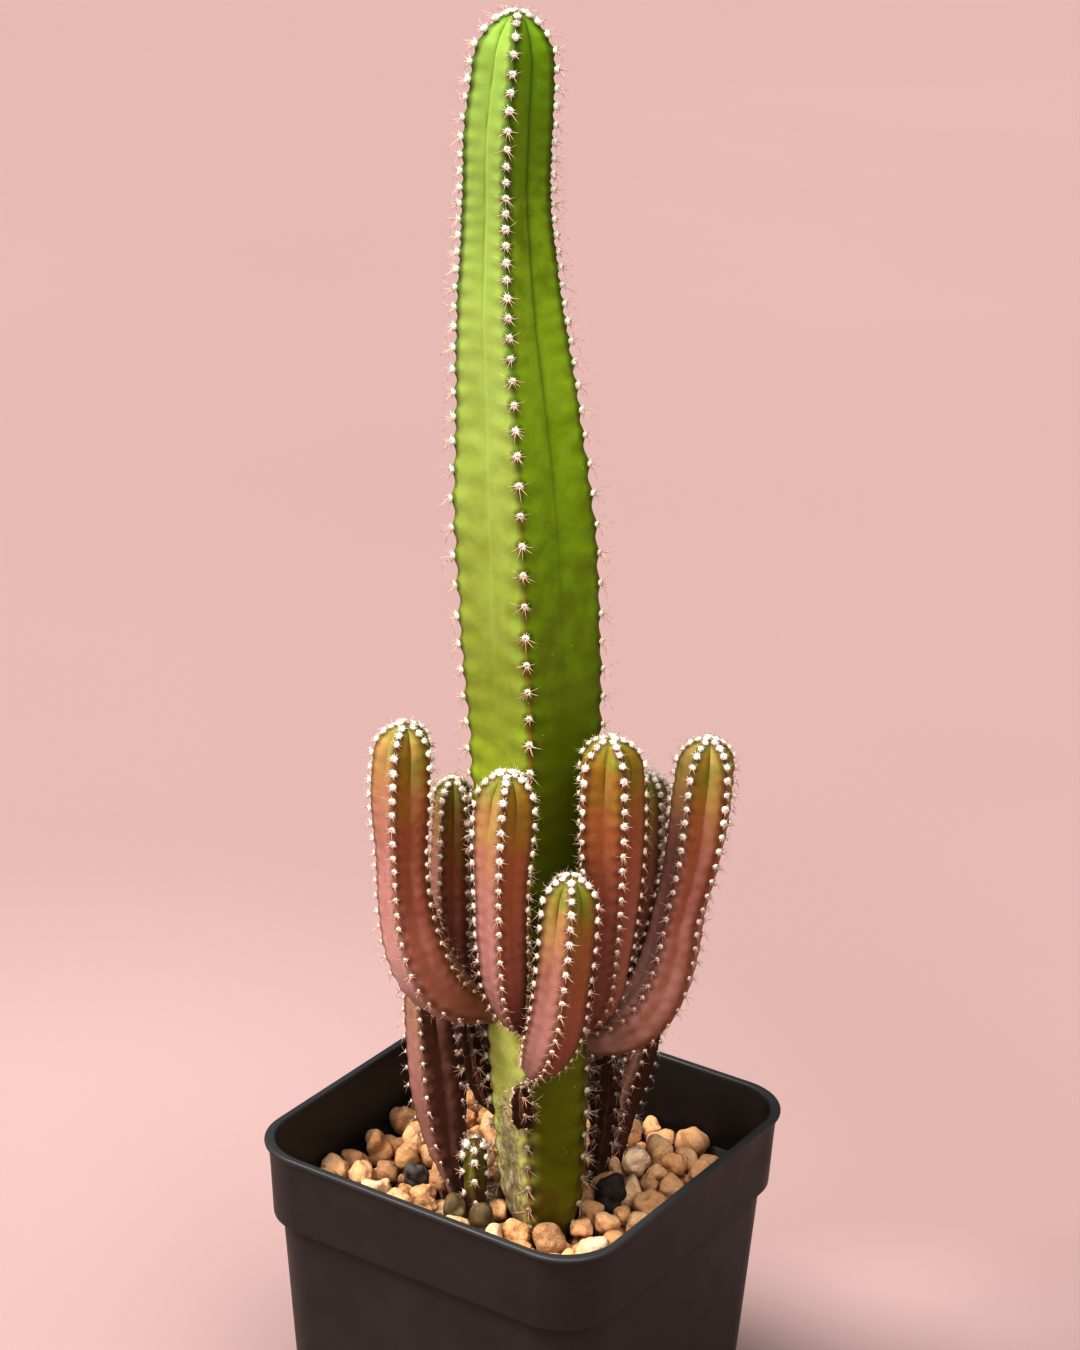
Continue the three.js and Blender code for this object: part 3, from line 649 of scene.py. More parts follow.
def make_wool(stem, places, material):
    """A tuft on every areole, browned and a little swollen low on the column."""
    spot, out, along, across, distance = places
    rng = stem.rng
    at_tip, at_root = stem.spec["wool"]
    age = smooth_step(0, 0.8 * stem.length, distance)
    old = browned(stem, spot[:, 2])
    size = (at_tip + (at_root - at_tip) * age) * (1 + OLD_SWELL * old)
    size = size * rng.uniform(0.88, 1.12, len(spot))
    points, faces, rows = [], [], []
    for k in range(len(spot)):
        shape, skin, pit = tufts[rng.integers(WOOL_KINDS)]
        spin = rng.uniform(0, 2 * math.pi)
        u = math.cos(spin) * across[k] + math.sin(spin) * along[k]
        v = np.cross(out[k], u)
        local = shape * size[k]
        points.append(spot[k] + local[:, :1] * u + local[:, 1:2] * v + local[:, 2:] * out[k])
        faces += [[len(rows) + corner for corner in face] for face in skin]
        tint = old[k] * rng.uniform(0.5, 1)
        rows += [(dot, age[k], tint) for dot in pit]
    marks = dict(zip(("pit", "age", "old"), np.array(rows).T))
    add_piece(stem.name + "_wool", turned(np.concatenate(points)), faces, material, stem.name, marks)


def make_spines(stem, places, material):
    """Spines spread from each areole, most of them sideways and down, with a slight bow."""
    spot, out, along, across, distance = places
    rng = stem.rng
    spec = stem.spec
    shortest, longest = spec["spine"]
    points, faces, tips, tints = [], [], [], []
    for k in range(len(spot)):
        young = min(stem.crest(distance[k : k + 1])[0] / stem.crests.max(), 1)
        wanted = spec["spines"] * rng.uniform(*SPINE_SHARE) * (0.5 + 0.5 * young)
        wanted = max(int(round(wanted)), 2)
        old = browned(stem, spot[k, 2])
        dark = old * rng.uniform(0, 0.45)
        for spine in range(wanted):
            spread = (2 * (spine + rng.uniform(0, 1)) / wanted - 1) * SPINE_FAN
            azimuth = spread - math.pi / 2
            lift = rng.uniform(*SPINE_LIFT)
            flat = math.cos(azimuth) * across[k] + math.sin(azimuth) * along[k]
            way = math.cos(lift) * flat + math.sin(lift) * out[k]
            length = rng.uniform(shortest, longest) * (0.6 + 0.4 * young + 0.35 * old)
            if rng.uniform() < LONG_SPINES:
                length *= LONGER
            root = spot[k] + SPINE_ROOT * out[k]
            bow = SPINE_BOW * length * out[k]
            path = [root + share * length * way + 4 * share * (1 - share) * bow for share, _ in SPINE_RINGS]
            radii = [spec["spine_radius"] * width for _, width in SPINE_RINGS]
            add_needle(points, faces, way, along[k] + 0.3 * across[k], path + [root + length * way], radii)
            tips += [0, 0, 0, 0.5, 0.5, 0.5, 1]
            tints += [dark] * 7
    add_piece(stem.name + "_spines", turned(np.array(points)), faces, material, stem.name,
              {"tip": tips, "dark": tints})


# Gravel
def ball(subdivisions):
    """Directions and faces of a ball: a 20-sided solid, each face cut in four again and again."""
    golden = (1 + math.sqrt(5)) / 2
    signs = itertools.product((-1, 1), repeat=2)
    corners = [np.roll((0, a, b * golden), shift) for a, b in signs for shift in range(3)]
    faces = []
    edge = 2
    for trio in itertools.combinations(range(len(corners)), 3):
        a, b, c = (corners[k] for k in trio)
        if math.isclose(max(math.dist(a, b), math.dist(b, c), math.dist(c, a)), edge):
            faces.append(trio if np.cross(b - a, c - a) @ a > 0 else trio[::-1])
    points = [corner / math.hypot(1, golden) for corner in corners]
    for _ in range(subdivisions):
        middles = {}
        finer = []

        def middle(a, b):
            key = (min(a, b), max(a, b))
            if key not in middles:
                middles[key] = len(points)
                points.append(unit(points[a] + points[b]))
            return middles[key]

        for a, b, c in faces:
            ab, bc, ca = middle(a, b), middle(b, c), middle(c, a)
            finer += [(a, ab, ca), (b, bc, ab), (c, ca, bc), (ab, bc, ca)]
        faces = finer
    return np.array(points), np.array(faces)


FINE_BALL = ball(3)
COARSE_BALL = ball(2)


def lumpy(ways, rng, sizes, depths):
    """Smooth random hills over a ball of directions, a size and a depth to each layer."""
    total = np.zeros(len(ways))
    for size, depth in zip(sizes, depths):
        hills = unit(rng.normal(size=(int(6 / size ** 2), 3)))
        signs = rng.choice([-1, 1], len(hills))
        near = np.exp((ways @ hills.T - 1) / (0.5 * size ** 2))
        total += depth * (near * signs).sum(axis=1)
    return total


band_bottom = POT_HEIGHT - BAND_HEIGHT
band_half_top = RIM_SIDE / 2 - LIP_OVERHANG
band_half_bottom = band_half_top - BAND_TAPER
body_half_top = band_half_bottom - BAND_STEP
bed_half = band_half_bottom - POT_WALL


def body_half(height):
    """Half the outer width of the pot's tapered body."""
    return BASE_SIDE / 2 + (body_half_top - BASE_SIDE / 2) * height / band_bottom


def inner_half(height):
    """Half the clear width inside the pot, which steps out at the rim band."""
    return np.where(height > band_bottom, bed_half, body_half(height) - POT_WALL)


def wall_reach(ways, half):
    """Support of a square with round corners along horizontal directions."""
    corner = CORNER_RADIUS * half / (RIM_SIDE / 2)
    return (half - corner) * np.abs(ways).sum(axis=-1) + corner


AWAY = np.array([-math.sin(PLANT_TURN), math.cos(PLANT_TURN)])
WALL_WAYS = np.array([(math.cos(a), math.sin(a)) for a in np.arange(16) * math.pi / 8])


def keep_inside(points, heights, margin):
    """Points drawn back from the pot's wall as it is at the heights, less a margin."""
    for way in WALL_WAYS:
        room = wall_reach(way, inner_half(heights)) - margin
        points[:, :2] -= np.maximum(points[:, :2] @ way - room, 0)[:, None] * way


def root_circles(heights):
    """Middles and radii of the rooted stems at given heights, one row a stem."""
    rows = []
    for stem in stems.values():
        if stem.spec.get("rooted"):
            order = np.argsort(stem.points[:, 2])
            around = turned(stem.points[order])
            columns = [around[:, 0], around[:, 1], stem.crests[order]]
            rows.append([np.interp(heights, around[:, 2], column) for column in columns])
    return np.array(rows)


def settle(radii, fixed, rng):
    """Middles of stones that sink and push one another aside until they lie in the pot."""
    count = len(radii)
    spots = rng.uniform((-DROP_HALF, -DROP_HALF, DROP_FROM), (DROP_HALF, DROP_HALF, DROP_TO), (count, 3))
    held, held_radii = fixed
    own = np.arange(count)
    for step in range(SETTLE_STEPS):
        left = 1 - step / SETTLE_STEPS
        spots[:, 2] -= FALL if step < FALLING_SHARE * SETTLE_STEPS else LAST_FALL
        spots[:, :2] += rng.normal(0, STIR * left, (count, 2))
        others = np.vstack([spots, held])
        gap = spots[:, None] - others[None]
        away = np.linalg.norm(gap, axis=2)
        away[own, own] = np.inf
        need = radii[:, None] + np.concatenate([radii, held_radii])[None]
        push = np.maximum(need - away, 0) / away
        push[:, :count] /= 2
        spots += YIELD * (push[..., None] * gap).sum(axis=1)
        for x, y, radius in root_circles(spots[:, 2]):
            gap = spots[:, :2] - np.stack([x, y], -1)
            away = np.linalg.norm(gap, axis=1)
            spots[:, :2] += gap * (np.maximum(radius + HUG * radii - away, 0) / away)[:, None]
        keep_inside(spots, spots[:, 2] + WALL_LOOK_UP, WALL_HUG * radii)
        lid = STONES_TOP + STONES_RISE * (spots[:, :2] @ AWAY) + LID_DROP * left
        spots[:, 2] = np.clip(spots[:, 2], MIX_TOP + HUG * radii, lid - radii)
    return spots


def stone_reach(ways, middle, radius, axes, neighbours, rng, rough=1):
    """A rough stone: an ellipsoid held back by the faces that it shares with its neighbours."""
    long_way, _ = np.linalg.qr(rng.normal(size=(3, 3)))
    local = ways @ long_way
    reach = STONE_SHRINK * radius / np.linalg.norm(local / axes, axis=1)
    reach *= 1 + rough * lumpy(ways, rng, STONE_HILLS, STONE_RELIEF)
    total = reach ** -PRESSING
    for other, other_radius in neighbours:
        line = other - middle
        apart = np.linalg.norm(line)
        face = apart * radius / (radius + other_radius) - STONE_GAP
        towards = np.maximum(ways @ (line / apart), 1e-3)
        total += (face / towards) ** -PRESSING
    for x, y, root in root_circles(middle[2]):
        line = np.array([x, y]) - middle[:2]
        apart = np.linalg.norm(line)
        face = max(apart - root - STONE_GAP, 0.5)
        towards = np.maximum(ways[:, :2] @ (line / apart), 1e-3)
        total += (face / towards) ** -PRESSING
    return total ** (-1 / PRESSING)


def make_stones(materials):
    """The gravel, in three pieces: stones seen left and right, and hidden ones; and the odd stones."""
    rng = np.random.default_rng(23)
    odd = [(turned(spec["middle"]), sum(spec["size"]) / 3) for spec in ODD_STONES.values()]
    radii = rng.triangular(*STONE_RADIUS, STONE_COUNT)
    middles = settle(radii, (np.array([m for m, _ in odd]), np.array([r for _, r in odd])), rng)
    everyone = list(zip(middles, radii)) + odd

    def neighbours(middle, radius):
        return [(m, r) for m, r in everyone if 0 < np.linalg.norm(m - middle) < 1.3 * (radius + r)]

    layers = {"gravel_left": [], "gravel_right": [], "gravel_below": []}
    for middle, radius in everyone[:STONE_COUNT]:
        seen = middle[2] > SEEN_ABOVE
        ways, skin = FINE_BALL if seen else COARSE_BALL
        axes = np.array([rng.uniform(*shares) for shares in STONE_AXES])
        reach = stone_reach(ways, middle, radius, axes, neighbours(middle, radius), rng)
        shade = np.full(len(ways), rng.uniform(0, 1))
        side = "gravel_left" if middle[0] + middle[1] < 0 else "gravel_right"
        layer = side if seen else "gravel_below"
        points = middle + reach[:, None] * ways
        keep_inside(points, points[:, 2], STONE_GAP)
        layers[layer].append((points, skin, shade))
    for name, stones in layers.items():
        starts = np.cumsum([0] + [len(points) for points, _, _ in stones])
        faces = np.concatenate([skin + start for (_, skin, _), start in zip(stones, starts)])
        add_piece(name, np.concatenate([points for points, _, _ in stones]), faces, materials["gravel"],
                  "gravel", {"tone": np.concatenate([shade for _, _, shade in stones])})

    for (name, spec), (middle, radius) in zip(ODD_STONES.items(), odd):
        ways, skin = FINE_BALL
        axes = np.array(spec["size"]) / radius
        near = neighbours(middle, radius)
        reach = stone_reach(ways, middle, radius, axes, near, rng, spec.get("rough", 1))
        points = middle + reach[:, None] * ways
        keep_inside(points, points[:, 2], STONE_GAP)
        add_piece(name + "_rough", points, skin, materials[spec["slot"]], name)


# Pot
def square_ring(half, height):
    """A square with round corners, at a height."""
    radius = CORNER_RADIUS * half / (RIM_SIDE / 2)
    ring = []
    for corner in range(4):
        facing = (corner + 0.5) * math.pi / 2
        x = math.copysign(half - radius, math.cos(facing))
        y = math.copysign(half - radius, math.sin(facing))
        for step in range(CORNER_STEPS + 1):
            angle = (corner + step / CORNER_STEPS) * math.pi / 2
            ring.append((x + radius * math.cos(angle), y + radius * math.sin(angle), height))
    return ring


def arc(half, height, radius, first, last, steps=5):
    """Points of a rounded edge, as half sides and heights, between two angles in degrees."""
    angles = np.radians(np.linspace(first, last, steps))
    return [(half + radius * math.cos(a), height + radius * math.sin(a)) for a in angles]


def pot_profile():
    """Half sides and heights, up the pot's outside and down its inside, and where the inside starts."""
    lip_bottom = POT_HEIGHT - LIP_DEPTH
    edge = RIM_SIDE / 2
    inner_lip = edge - LIP_WIDTH
    ledge = band_bottom - POT_WALL
    floor_half = body_half(POT_FLOOR) - POT_WALL
    profile = [(body_half(0) - 4, 0)]
    profile += arc(body_half(0) - BASE_ROUND, BASE_ROUND, BASE_ROUND, -90, 0)
    profile += [(body_half(band_bottom * share), band_bottom * share) for share in (0.35, 0.7, 0.985)]
    profile += [(body_half_top, band_bottom - 0.25), (body_half_top + 0.2, band_bottom)]
    profile += arc(band_half_bottom - BAND_ROUND, band_bottom + BAND_ROUND, BAND_ROUND, -90, 0)
    profile += [(band_half_top - 0.35, lip_bottom - 6), (band_half_top - 0.05, lip_bottom - 0.5)]
    profile += [(band_half_top + 0.1, lip_bottom - 0.1)]
    profile += arc(edge - LIP_ROUND, lip_bottom + LIP_ROUND, LIP_ROUND, -60, 0, 4)
    profile += arc(edge - LIP_ROUND, POT_HEIGHT - LIP_ROUND, LIP_ROUND, 15, 90)
    profile += arc(inner_lip + INNER_ROUND, POT_HEIGHT - INNER_ROUND, INNER_ROUND, 90, 180)
    inner_start = len(profile)
    profile += [(band_half_top - POT_WALL, lip_bottom - 0.6)]
    profile += [(band_half_bottom - POT_WALL + 0.1, band_bottom + 0.5)]
    profile += [(body_half(ledge) - POT_WALL, ledge), (body_half(ledge) - POT_WALL - 0.1, ledge - 2)]
    profile += [(floor_half, POT_FLOOR + 1), (floor_half - 1, POT_FLOOR)]
    return profile, inner_start


def drill_drains(pot):
    """Round holes through the pot's floor."""
    for sx, sy in ((1, 1), (-1, 1), (-1, -1), (1, -1)):
        bpy.ops.mesh.primitive_cylinder_add(vertices=32, radius=DRAIN_RADIUS * MM, depth=DRILL_DEPTH * MM,
                                            location=(sx * DRAIN_OFFSET * MM, sy * DRAIN_OFFSET * MM, MM))
        drill = bpy.context.object
        cut = pot.modifiers.new("drain", "BOOLEAN")
        cut.operation = "DIFFERENCE"
        cut.solver = "EXACT"
        cut.object = drill
        bpy.context.view_layer.objects.active = pot
        bpy.ops.object.modifier_apply(modifier="drain")
        bpy.data.objects.remove(drill)


def make_pot(material):
    """The pot, from rings along its profile, with its drain holes."""
    profile, inner_start = pot_profile()
    points = [point for half, height in profile for point in square_ring(half, height)]
    columns = 4 * (CORNER_STEPS + 1)
    # Marks the inside of the pot, which its material darkens as painted shade
    inside = np.repeat(np.arange(len(profile)) > inner_start, columns).tolist() + [0, 1]
    points += [(0, 0, 0), (0, 0, POT_FLOOR)]
    pot = add_piece("pot_moulding", np.array(points), tube_faces(len(profile), columns), material,
                    "pot", {"inside": inside})
    drill_drains(pot)
    pot.data.set_sharp_from_angle(angle=math.radians(SHARP_ANGLE))


# Materials
class Graph:
    """Shorthand for one material's nodes."""

    def __init__(self, name):
        self.material = bpy.data.materials.new(name)
        self.material.use_nodes = True
        self.nodes = self.material.node_tree.nodes
        self.links = self.material.node_tree.links
        self.shader = self.nodes["Principled BSDF"]
        self.place = self.nodes.new("ShaderNodeTexCoord").outputs["Object"]

    def put(self, socket, value):
        """Another node's output, a number or a colour, into a socket."""
        if hasattr(value, "is_output"):
            self.links.new(value, socket)
        elif socket.type == "RGBA":
            socket.default_value = (*value, 1)
        else:
            socket.default_value = value

    def node(self, kind, **inputs):
        node = self.nodes.new("ShaderNode" + kind)
        for name, value in inputs.items():
            self.put(node.inputs[name.replace("_", " ")], value)
        return node

    def mark(self, name):
        node = self.node("Attribute")
        node.attribute_name = name
        return node.outputs["Fac"]

    def noise(self, size_mm, detail=3, rough=0.55, stretch=None):
        place = self.place
        if stretch:
            place = self.node("Mapping", Vector=place, Scale=stretch).outputs["Vector"]
        node = self.node("TexNoise", Vector=place, Scale=1 / (size_mm * MM), Detail=detail, Roughness=rough)
        return node.outputs["Fac"]

    def cells(self, size_mm):
        """Distance from the nearest of scattered points."""
        return self.node("TexVoronoi", Vector=self.place, Scale=1 / (size_mm * MM)).outputs["Distance"]

    def height(self):
        return self.node("SeparateXYZ", Vector=self.place).outputs["Z"]

    def away(self, point):
        """Distance in metres from a point given in millimetres."""
        node = self.node("VectorMath")
        node.operation = "DISTANCE"
        self.put(node.inputs[0], self.place)
        self.put(node.inputs[1], [number * MM for number in point])
        return node.outputs["Value"]

    def spread(self, value, low, high, to_low=0.0, to_high=1.0):
        """A value from low to high, eased into one from to_low to to_high."""
        node = self.node("MapRange", Value=value, From_Min=low, From_Max=high, To_Min=to_low, To_Max=to_high)
        node.interpolation_type = "SMOOTHSTEP"
        return node.outputs["Result"]

    def math(self, operation, a, b):
        node = self.node("Math")
        node.operation = operation
        self.put(node.inputs[0], a)
        self.put(node.inputs[1], b)
        return node.outputs[0]

    def plus(self, a, b):
        return self.math("ADD", a, b)

    def times(self, a, b):
        return self.math("MULTIPLY", a, b)

    def ramp(self, value, stops):
        node = self.node("ValToRGB", Fac=value)
        elements = node.color_ramp.elements
        while len(elements) < len(stops):
            elements.new(1)
        for element, (place, colour) in zip(elements, stops):
            element.position = place
            element.color = (*colour, 1)
        return node.outputs["Color"]

    def mix(self, share, a, b, blend="MIX"):
        node = self.nodes.new("ShaderNodeMix")
        node.data_type = "RGBA"
        node.blend_type = blend
        for name, value in (("Factor", share), ("A", a), ("B", b)):
            self.put(node.inputs[name], value)
        return node.outputs["Result"]

    def dimmed(self, colour, value):
        """A colour times a number, where one or more leaves it as it is."""
        return self.mix(1.0, colour, self.mix(value, (0, 0, 0), (1, 1, 1)), "MULTIPLY")

    def finish(self, colour, roughness, bump=None, strength=0.3, depth_mm=0.1, **more):
        """The material, with its shader's inputs filled and a bump if there is one."""
        for name, value in {"Base Color": colour, "Roughness": roughness, **more}.items():
            self.put(self.shader.inputs[name.replace("_", " ")], value)
        if bump is not None:
            node = self.node("Bump", Strength=strength, Distance=depth_mm * MM, Height=bump)
            self.links.new(node.outputs["Normal"], self.shader.inputs["Normal"])
        return self.material


# Painted light and shade: between these shares of facing the light the skin turns from its shaded to its
# sunny tones
SUNNY_FROM_TO = (0.42, 0.95)


def skin_tones(g, look, sunny):
    """Tones down the stem, lit and shaded copies chosen by how it faces the light as painted light and
    shade, a little mottled.
    """
    drift = g.spread(g.noise(5, 2), 0.3, 0.7, -0.05, 0.05)
    along = g.plus(g.math("DIVIDE", g.mark("from_tip"), look["reach"]), drift)
    colour = g.mix(sunny, g.ramp(along, look["shaded"]), g.ramp(along, look["sunny"]))
    mottled = g.spread(g.noise(2.2, 4, 0.6), 0.35, 0.7, 1 - look["mottled"], 1 + look["mottled"])
    return g.dimmed(colour, mottled)


def skin_marks(g, look, colour, sunny):
    """Painted shade in grooves, dips and rings round the areoles (grooves paler where lit), brown crests,
    bloom and pale specks.
    """
    line = g.spread(g.mark("crest_mm"), look["line_mm"], 0.1)
    line = g.times(line, g.spread(g.mark("from_tip"), *look["line_run"]))
    line = g.times(line, g.spread(g.noise(3, 3), 0.3, 0.6, 0.3, 1))
    painted_ring_shade = g.spread(g.mark("areole_mm"), look["painted_ring_shade_mm"], 0.9)
    bloom = g.spread(g.noise(0.9, 4, 0.7, (1, 1, 0.6)), 0.55, 0.75)
    specks = g.times(g.spread(g.cells(1.7), 0.085, 0.045), g.spread(g.noise(4, 1), 0.5, 0.62))
    # Painted shade in the grooves near the tip (a paler painted lit tone where they face the light), in the
    # dips between areoles and in rings round them; the brown crest line, bloom and specks are the skin's own
    for where, share, tone in (
        (g.mark("crease"), look["crease_share"], g.mix(sunny, look["crease"], look["crease_lit"])),
        (g.mark("notch"), look["painted_notch_shade_share"], look["notch"]),
        (painted_ring_shade, look["painted_notch_shade_share"], look["notch"]),
        (line, look["line_share"], look["line"]),
        (bloom, look["bloom"], (0.75, 0.55, 0.45)),
        (specks, look["specks"], (0.75, 0.78, 0.45)),
    ):
        colour = g.mix(g.times(where, share), colour, tone)
    return colour


def skin_look(name, look):
    """Waxy skin with its tones and marks, painted light and shade among them, and cork over its foot and its
    scar.
    """
    g = Graph(name)
    # Painted light and shade: the share of sunny tones follows how the skin faces the light, with a little
    # noise
    facing = g.plus(g.mark("sunny"), g.spread(g.noise(4, 2), 0.3, 0.7, -0.06, 0.06))
    sunny = g.spread(facing, *SUNNY_FROM_TO)
    colour = skin_marks(g, look, skin_tones(g, look, sunny), sunny)
    crackle = g.spread(g.noise(1.5, 6, 0.7), 0.2, 0.8, -0.4, 0.4)
    cork = g.plus(g.math("MAXIMUM", g.mark("foot"), g.mark("scar")), crackle)
    cork = g.times(g.spread(cork, 0.5, 0.95), look["cork_share"])
    veins = g.spread(g.noise(1.1, 5, 0.65, (1, 1, 0.3)), 0.5, 0.66)
    bark = g.mix(veins, look["cork"], (0.72, 0.67, 0.56))
    bark = g.mix(g.spread(g.noise(2.8, 4, 0.6), 0.5, 0.7), bark, (0.16, 0.12, 0.06))
    colour = g.mix(cork, colour, bark)
    grain = g.plus(g.times(g.noise(0.5, 3), 0.5), g.noise(2.4, 3))
    grain = g.plus(grain, g.times(g.times(veins, cork), 1.5))
    rough = g.spread(g.noise(3, 3), 0.3, 0.7, look["roughness"] - 0.06, look["roughness"] + 0.08)
    return g.finish(colour, g.math("MAXIMUM", rough, g.times(cork, 0.9)), grain,
                    strength=0.2, depth_mm=0.25, Subsurface_Weight=0.1,
                    Subsurface_Radius=(0.0018, 0.0012, 0.0006), Specular_IOR_Level=0.3)


# Skins: the reach down from the tip that their tones run over, the brown line along the crests and
# where it begins, painted shade in the grooves (crease) and a paler painted lit tone there, painted
# shade in the dips between areoles (notch) and in rings round them, cork, and the tones of the sunny
# and the shaded side, which paint light and shade, each as (share of the reach, colour). A kind's own
# look goes before the look that all kinds share.
SHARED_LOOK = {
    "line_share": 0.35, "painted_notch_shade_share": 0.5, "painted_ring_shade_mm": 1.9, "specks": 0.0, "roughness": 0.46,
    "cork_share": 0.9, "cork": (0.34, 0.29, 0.19), "mottled": 0.08, "bloom": 0.14,
    "crease_lit": (0.46, 0.44, 0.16), "crease_share": 0.4,
}
LOOKS = {
    "column": {
        "reach": 270, "specks": 0.8, "mottled": 0.035, "bloom": 0.0,
        "line_mm": 0.7, "line_run": (60, 150), "line": (0.40, 0.17, 0.03),
        "crease": (0.07, 0.14, 0.012), "crease_lit": (0.50, 0.62, 0.20), "crease_share": 0.7,
        "notch": (0.04, 0.075, 0.006), "painted_notch_shade_share": 0.6, "painted_ring_shade_mm": 2.1, "line_share": 0.65,
        "sunny": ((0.0, (0.36, 0.52, 0.15)), (0.26, (0.43, 0.55, 0.17)), (0.5, (0.34, 0.41, 0.07)),
                  (0.63, (0.41, 0.51, 0.06)), (0.76, (0.46, 0.55, 0.09)), (0.86, (0.66, 0.72, 0.27)),
                  (0.95, (0.62, 0.62, 0.27)), (1.0, (0.42, 0.39, 0.18))),
        "shaded": ((0.0, (0.22, 0.38, 0.012)), (0.12, (0.21, 0.31, 0.006)), (0.24, (0.34, 0.50, 0.035)),
                   (0.32, (0.28, 0.42, 0.015)), (0.42, (0.22, 0.325, 0.007)), (0.52, (0.18, 0.25, 0.005)),
                   (0.64, (0.185, 0.24, 0.005)), (0.78, (0.20, 0.235, 0.005)), (0.9, (0.21, 0.21, 0.006)),
                   (1.0, (0.18, 0.14, 0.008))),
    },
    "branch": {
        "reach": 78, "line_mm": 0.55, "line_run": (10, 26), "line": (0.50, 0.20, 0.05),
        "crease": (0.08, 0.12, 0.015), "notch": (0.14, 0.06, 0.03),
        "sunny": ((0.0, (0.29, 0.31, 0.09)), (0.08, (0.50, 0.38, 0.15)), (0.18, (0.52, 0.31, 0.18)),
                  (0.29, (0.52, 0.29, 0.24)), (0.5, (0.58, 0.34, 0.32)), (0.7, (0.62, 0.40, 0.37)),
                  (0.88, (0.54, 0.34, 0.30)), (1.0, (0.38, 0.24, 0.19))),
        "shaded": ((0.0, (0.27, 0.28, 0.04)), (0.1, (0.35, 0.215, 0.028)), (0.25, (0.38, 0.15, 0.06)),
                   (0.5, (0.39, 0.155, 0.105)), (0.8, (0.43, 0.21, 0.145)), (1.0, (0.29, 0.145, 0.09))),
    },
    "shoot": {
        "reach": 66, "line_mm": 0.8, "line_run": (6, 20), "line": (0.26, 0.10, 0.06),
        "crease": (0.08, 0.05, 0.02), "notch": (0.10, 0.04, 0.025), "line_share": 0.4,
        "sunny": ((0.0, (0.44, 0.28, 0.19)), (0.3, (0.52, 0.30, 0.27)), (0.65, (0.52, 0.31, 0.29)),
                  (1.0, (0.44, 0.33, 0.30))),
        "shaded": ((0.0, (0.18, 0.08, 0.045)), (0.4, (0.16, 0.065, 0.04)), (1.0, (0.14, 0.08, 0.065))),
    },
    "pup": {
        "reach": 26, "line_mm": 0.7, "line_run": (2, 9), "line": (0.30, 0.12, 0.04),
        "crease": (0.06, 0.08, 0.012), "notch": (0.14, 0.06, 0.03),
        "sunny": ((0.0, (0.34, 0.38, 0.10)), (0.3, (0.30, 0.32, 0.07)), (0.55, (0.22, 0.13, 0.05)),
                  (1.0, (0.13, 0.06, 0.035))),
        "shaded": ((0.0, (0.20, 0.23, 0.05)), (0.4, (0.16, 0.15, 0.03)), (0.6, (0.12, 0.06, 0.03)),
                   (1.0, (0.09, 0.04, 0.025))),
    },
    "withered": {
        "reach": 50, "line_mm": 0.6, "line_run": (0, 6), "line": (0.20, 0.09, 0.05),
        "crease": (0.03, 0.015, 0.01), "notch": (0.03, 0.014, 0.01), "roughness": 0.7,
        "cork_share": 0.4, "cork": (0.16, 0.11, 0.07),
        "sunny": ((0.0, (0.30, 0.13, 0.08)), (0.5, (0.24, 0.10, 0.06)), (1.0, (0.15, 0.06, 0.04))),
        "shaded": ((0.0, (0.17, 0.07, 0.04)), (0.5, (0.12, 0.05, 0.03)), (1.0, (0.06, 0.026, 0.015))),
    },
}


def wool_look():
    """Cream wool, browner with age, with a dark dot in its middle."""
    g = Graph("areole_wool")
    fresh = g.mix(g.mark("age"), (0.97, 0.95, 0.90), (0.92, 0.85, 0.76))
    fresh = g.mix(g.mark("old"), fresh, (0.30, 0.19, 0.11))
    uneven = g.spread(g.noise(0.7, 2), 0.3, 0.7, 0.8, 1.08)
    colour = g.dimmed(fresh, uneven)
    pit = g.times(g.mark("pit"), g.spread(g.mark("age"), 0, 0.9, 0.12, 0.8))
    colour = g.mix(pit, colour, (0.30, 0.15, 0.08))
    return g.finish(colour, 0.95, g.noise(0.22, 2), strength=0.5, depth_mm=0.1,
                    Sheen_Weight=0.15, Sheen_Roughness=0.6, Specular_IOR_Level=0.1)


def spine_look():
    g = Graph("spines")
    colour = g.mix(g.mark("tip"), (0.86, 0.68, 0.56), (0.75, 0.50, 0.40))
    colour = g.mix(g.mark("dark"), colour, (0.14, 0.07, 0.04))
    return g.finish(colour, 0.5, Specular_IOR_Level=0.4)


def gravel_look():
    """Baked clay: a tone to each stone, with clouds, pale dust and dark pores."""
    g = Graph("gravel")
    tone = g.ramp(g.mark("tone"), (
        (0.0, (0.54, 0.35, 0.21)), (0.25, (0.79, 0.50, 0.28)), (0.6, (0.90, 0.60, 0.36)),
        (0.85, (0.94, 0.69, 0.45)), (1.0, (0.95, 0.78, 0.60)),
    ))
    cloud = g.spread(g.noise(2.6, 4, 0.6), 0.3, 0.7, 0.84, 1.16)
    colour = g.dimmed(tone, cloud)
    pale = g.spread(g.noise(0.45, 3, 0.7), 0.55, 0.72, 0, 0.4)
    colour = g.mix(pale, colour, (0.90, 0.74, 0.52))
    pores = g.spread(g.noise(0.7, 4, 0.7), 0.38, 0.26, 0, 0.5)
    colour = g.mix(pores, colour, (0.24, 0.12, 0.055))
    grit = g.plus(g.noise(0.5, 4, 0.7), g.times(g.noise(1.8, 3), 1.4))
    return g.finish(colour, 0.92, grit, strength=0.9, depth_mm=0.6, Specular_IOR_Level=0.25)


def plain_stone_look(name, colour, fleck, roughness, grain_mm):
    g = Graph(name)
    cloud = g.spread(g.noise(2.2, 4, 0.6), 0.3, 0.7, 0.6, 1.3)
    body = g.dimmed(colour, cloud)
    body = g.mix(g.spread(g.noise(grain_mm, 4, 0.7), 0.58, 0.75, 0, 0.6), body, fleck)
    return g.finish(body, roughness, g.noise(grain_mm, 4, 0.7), strength=0.6, depth_mm=0.3)


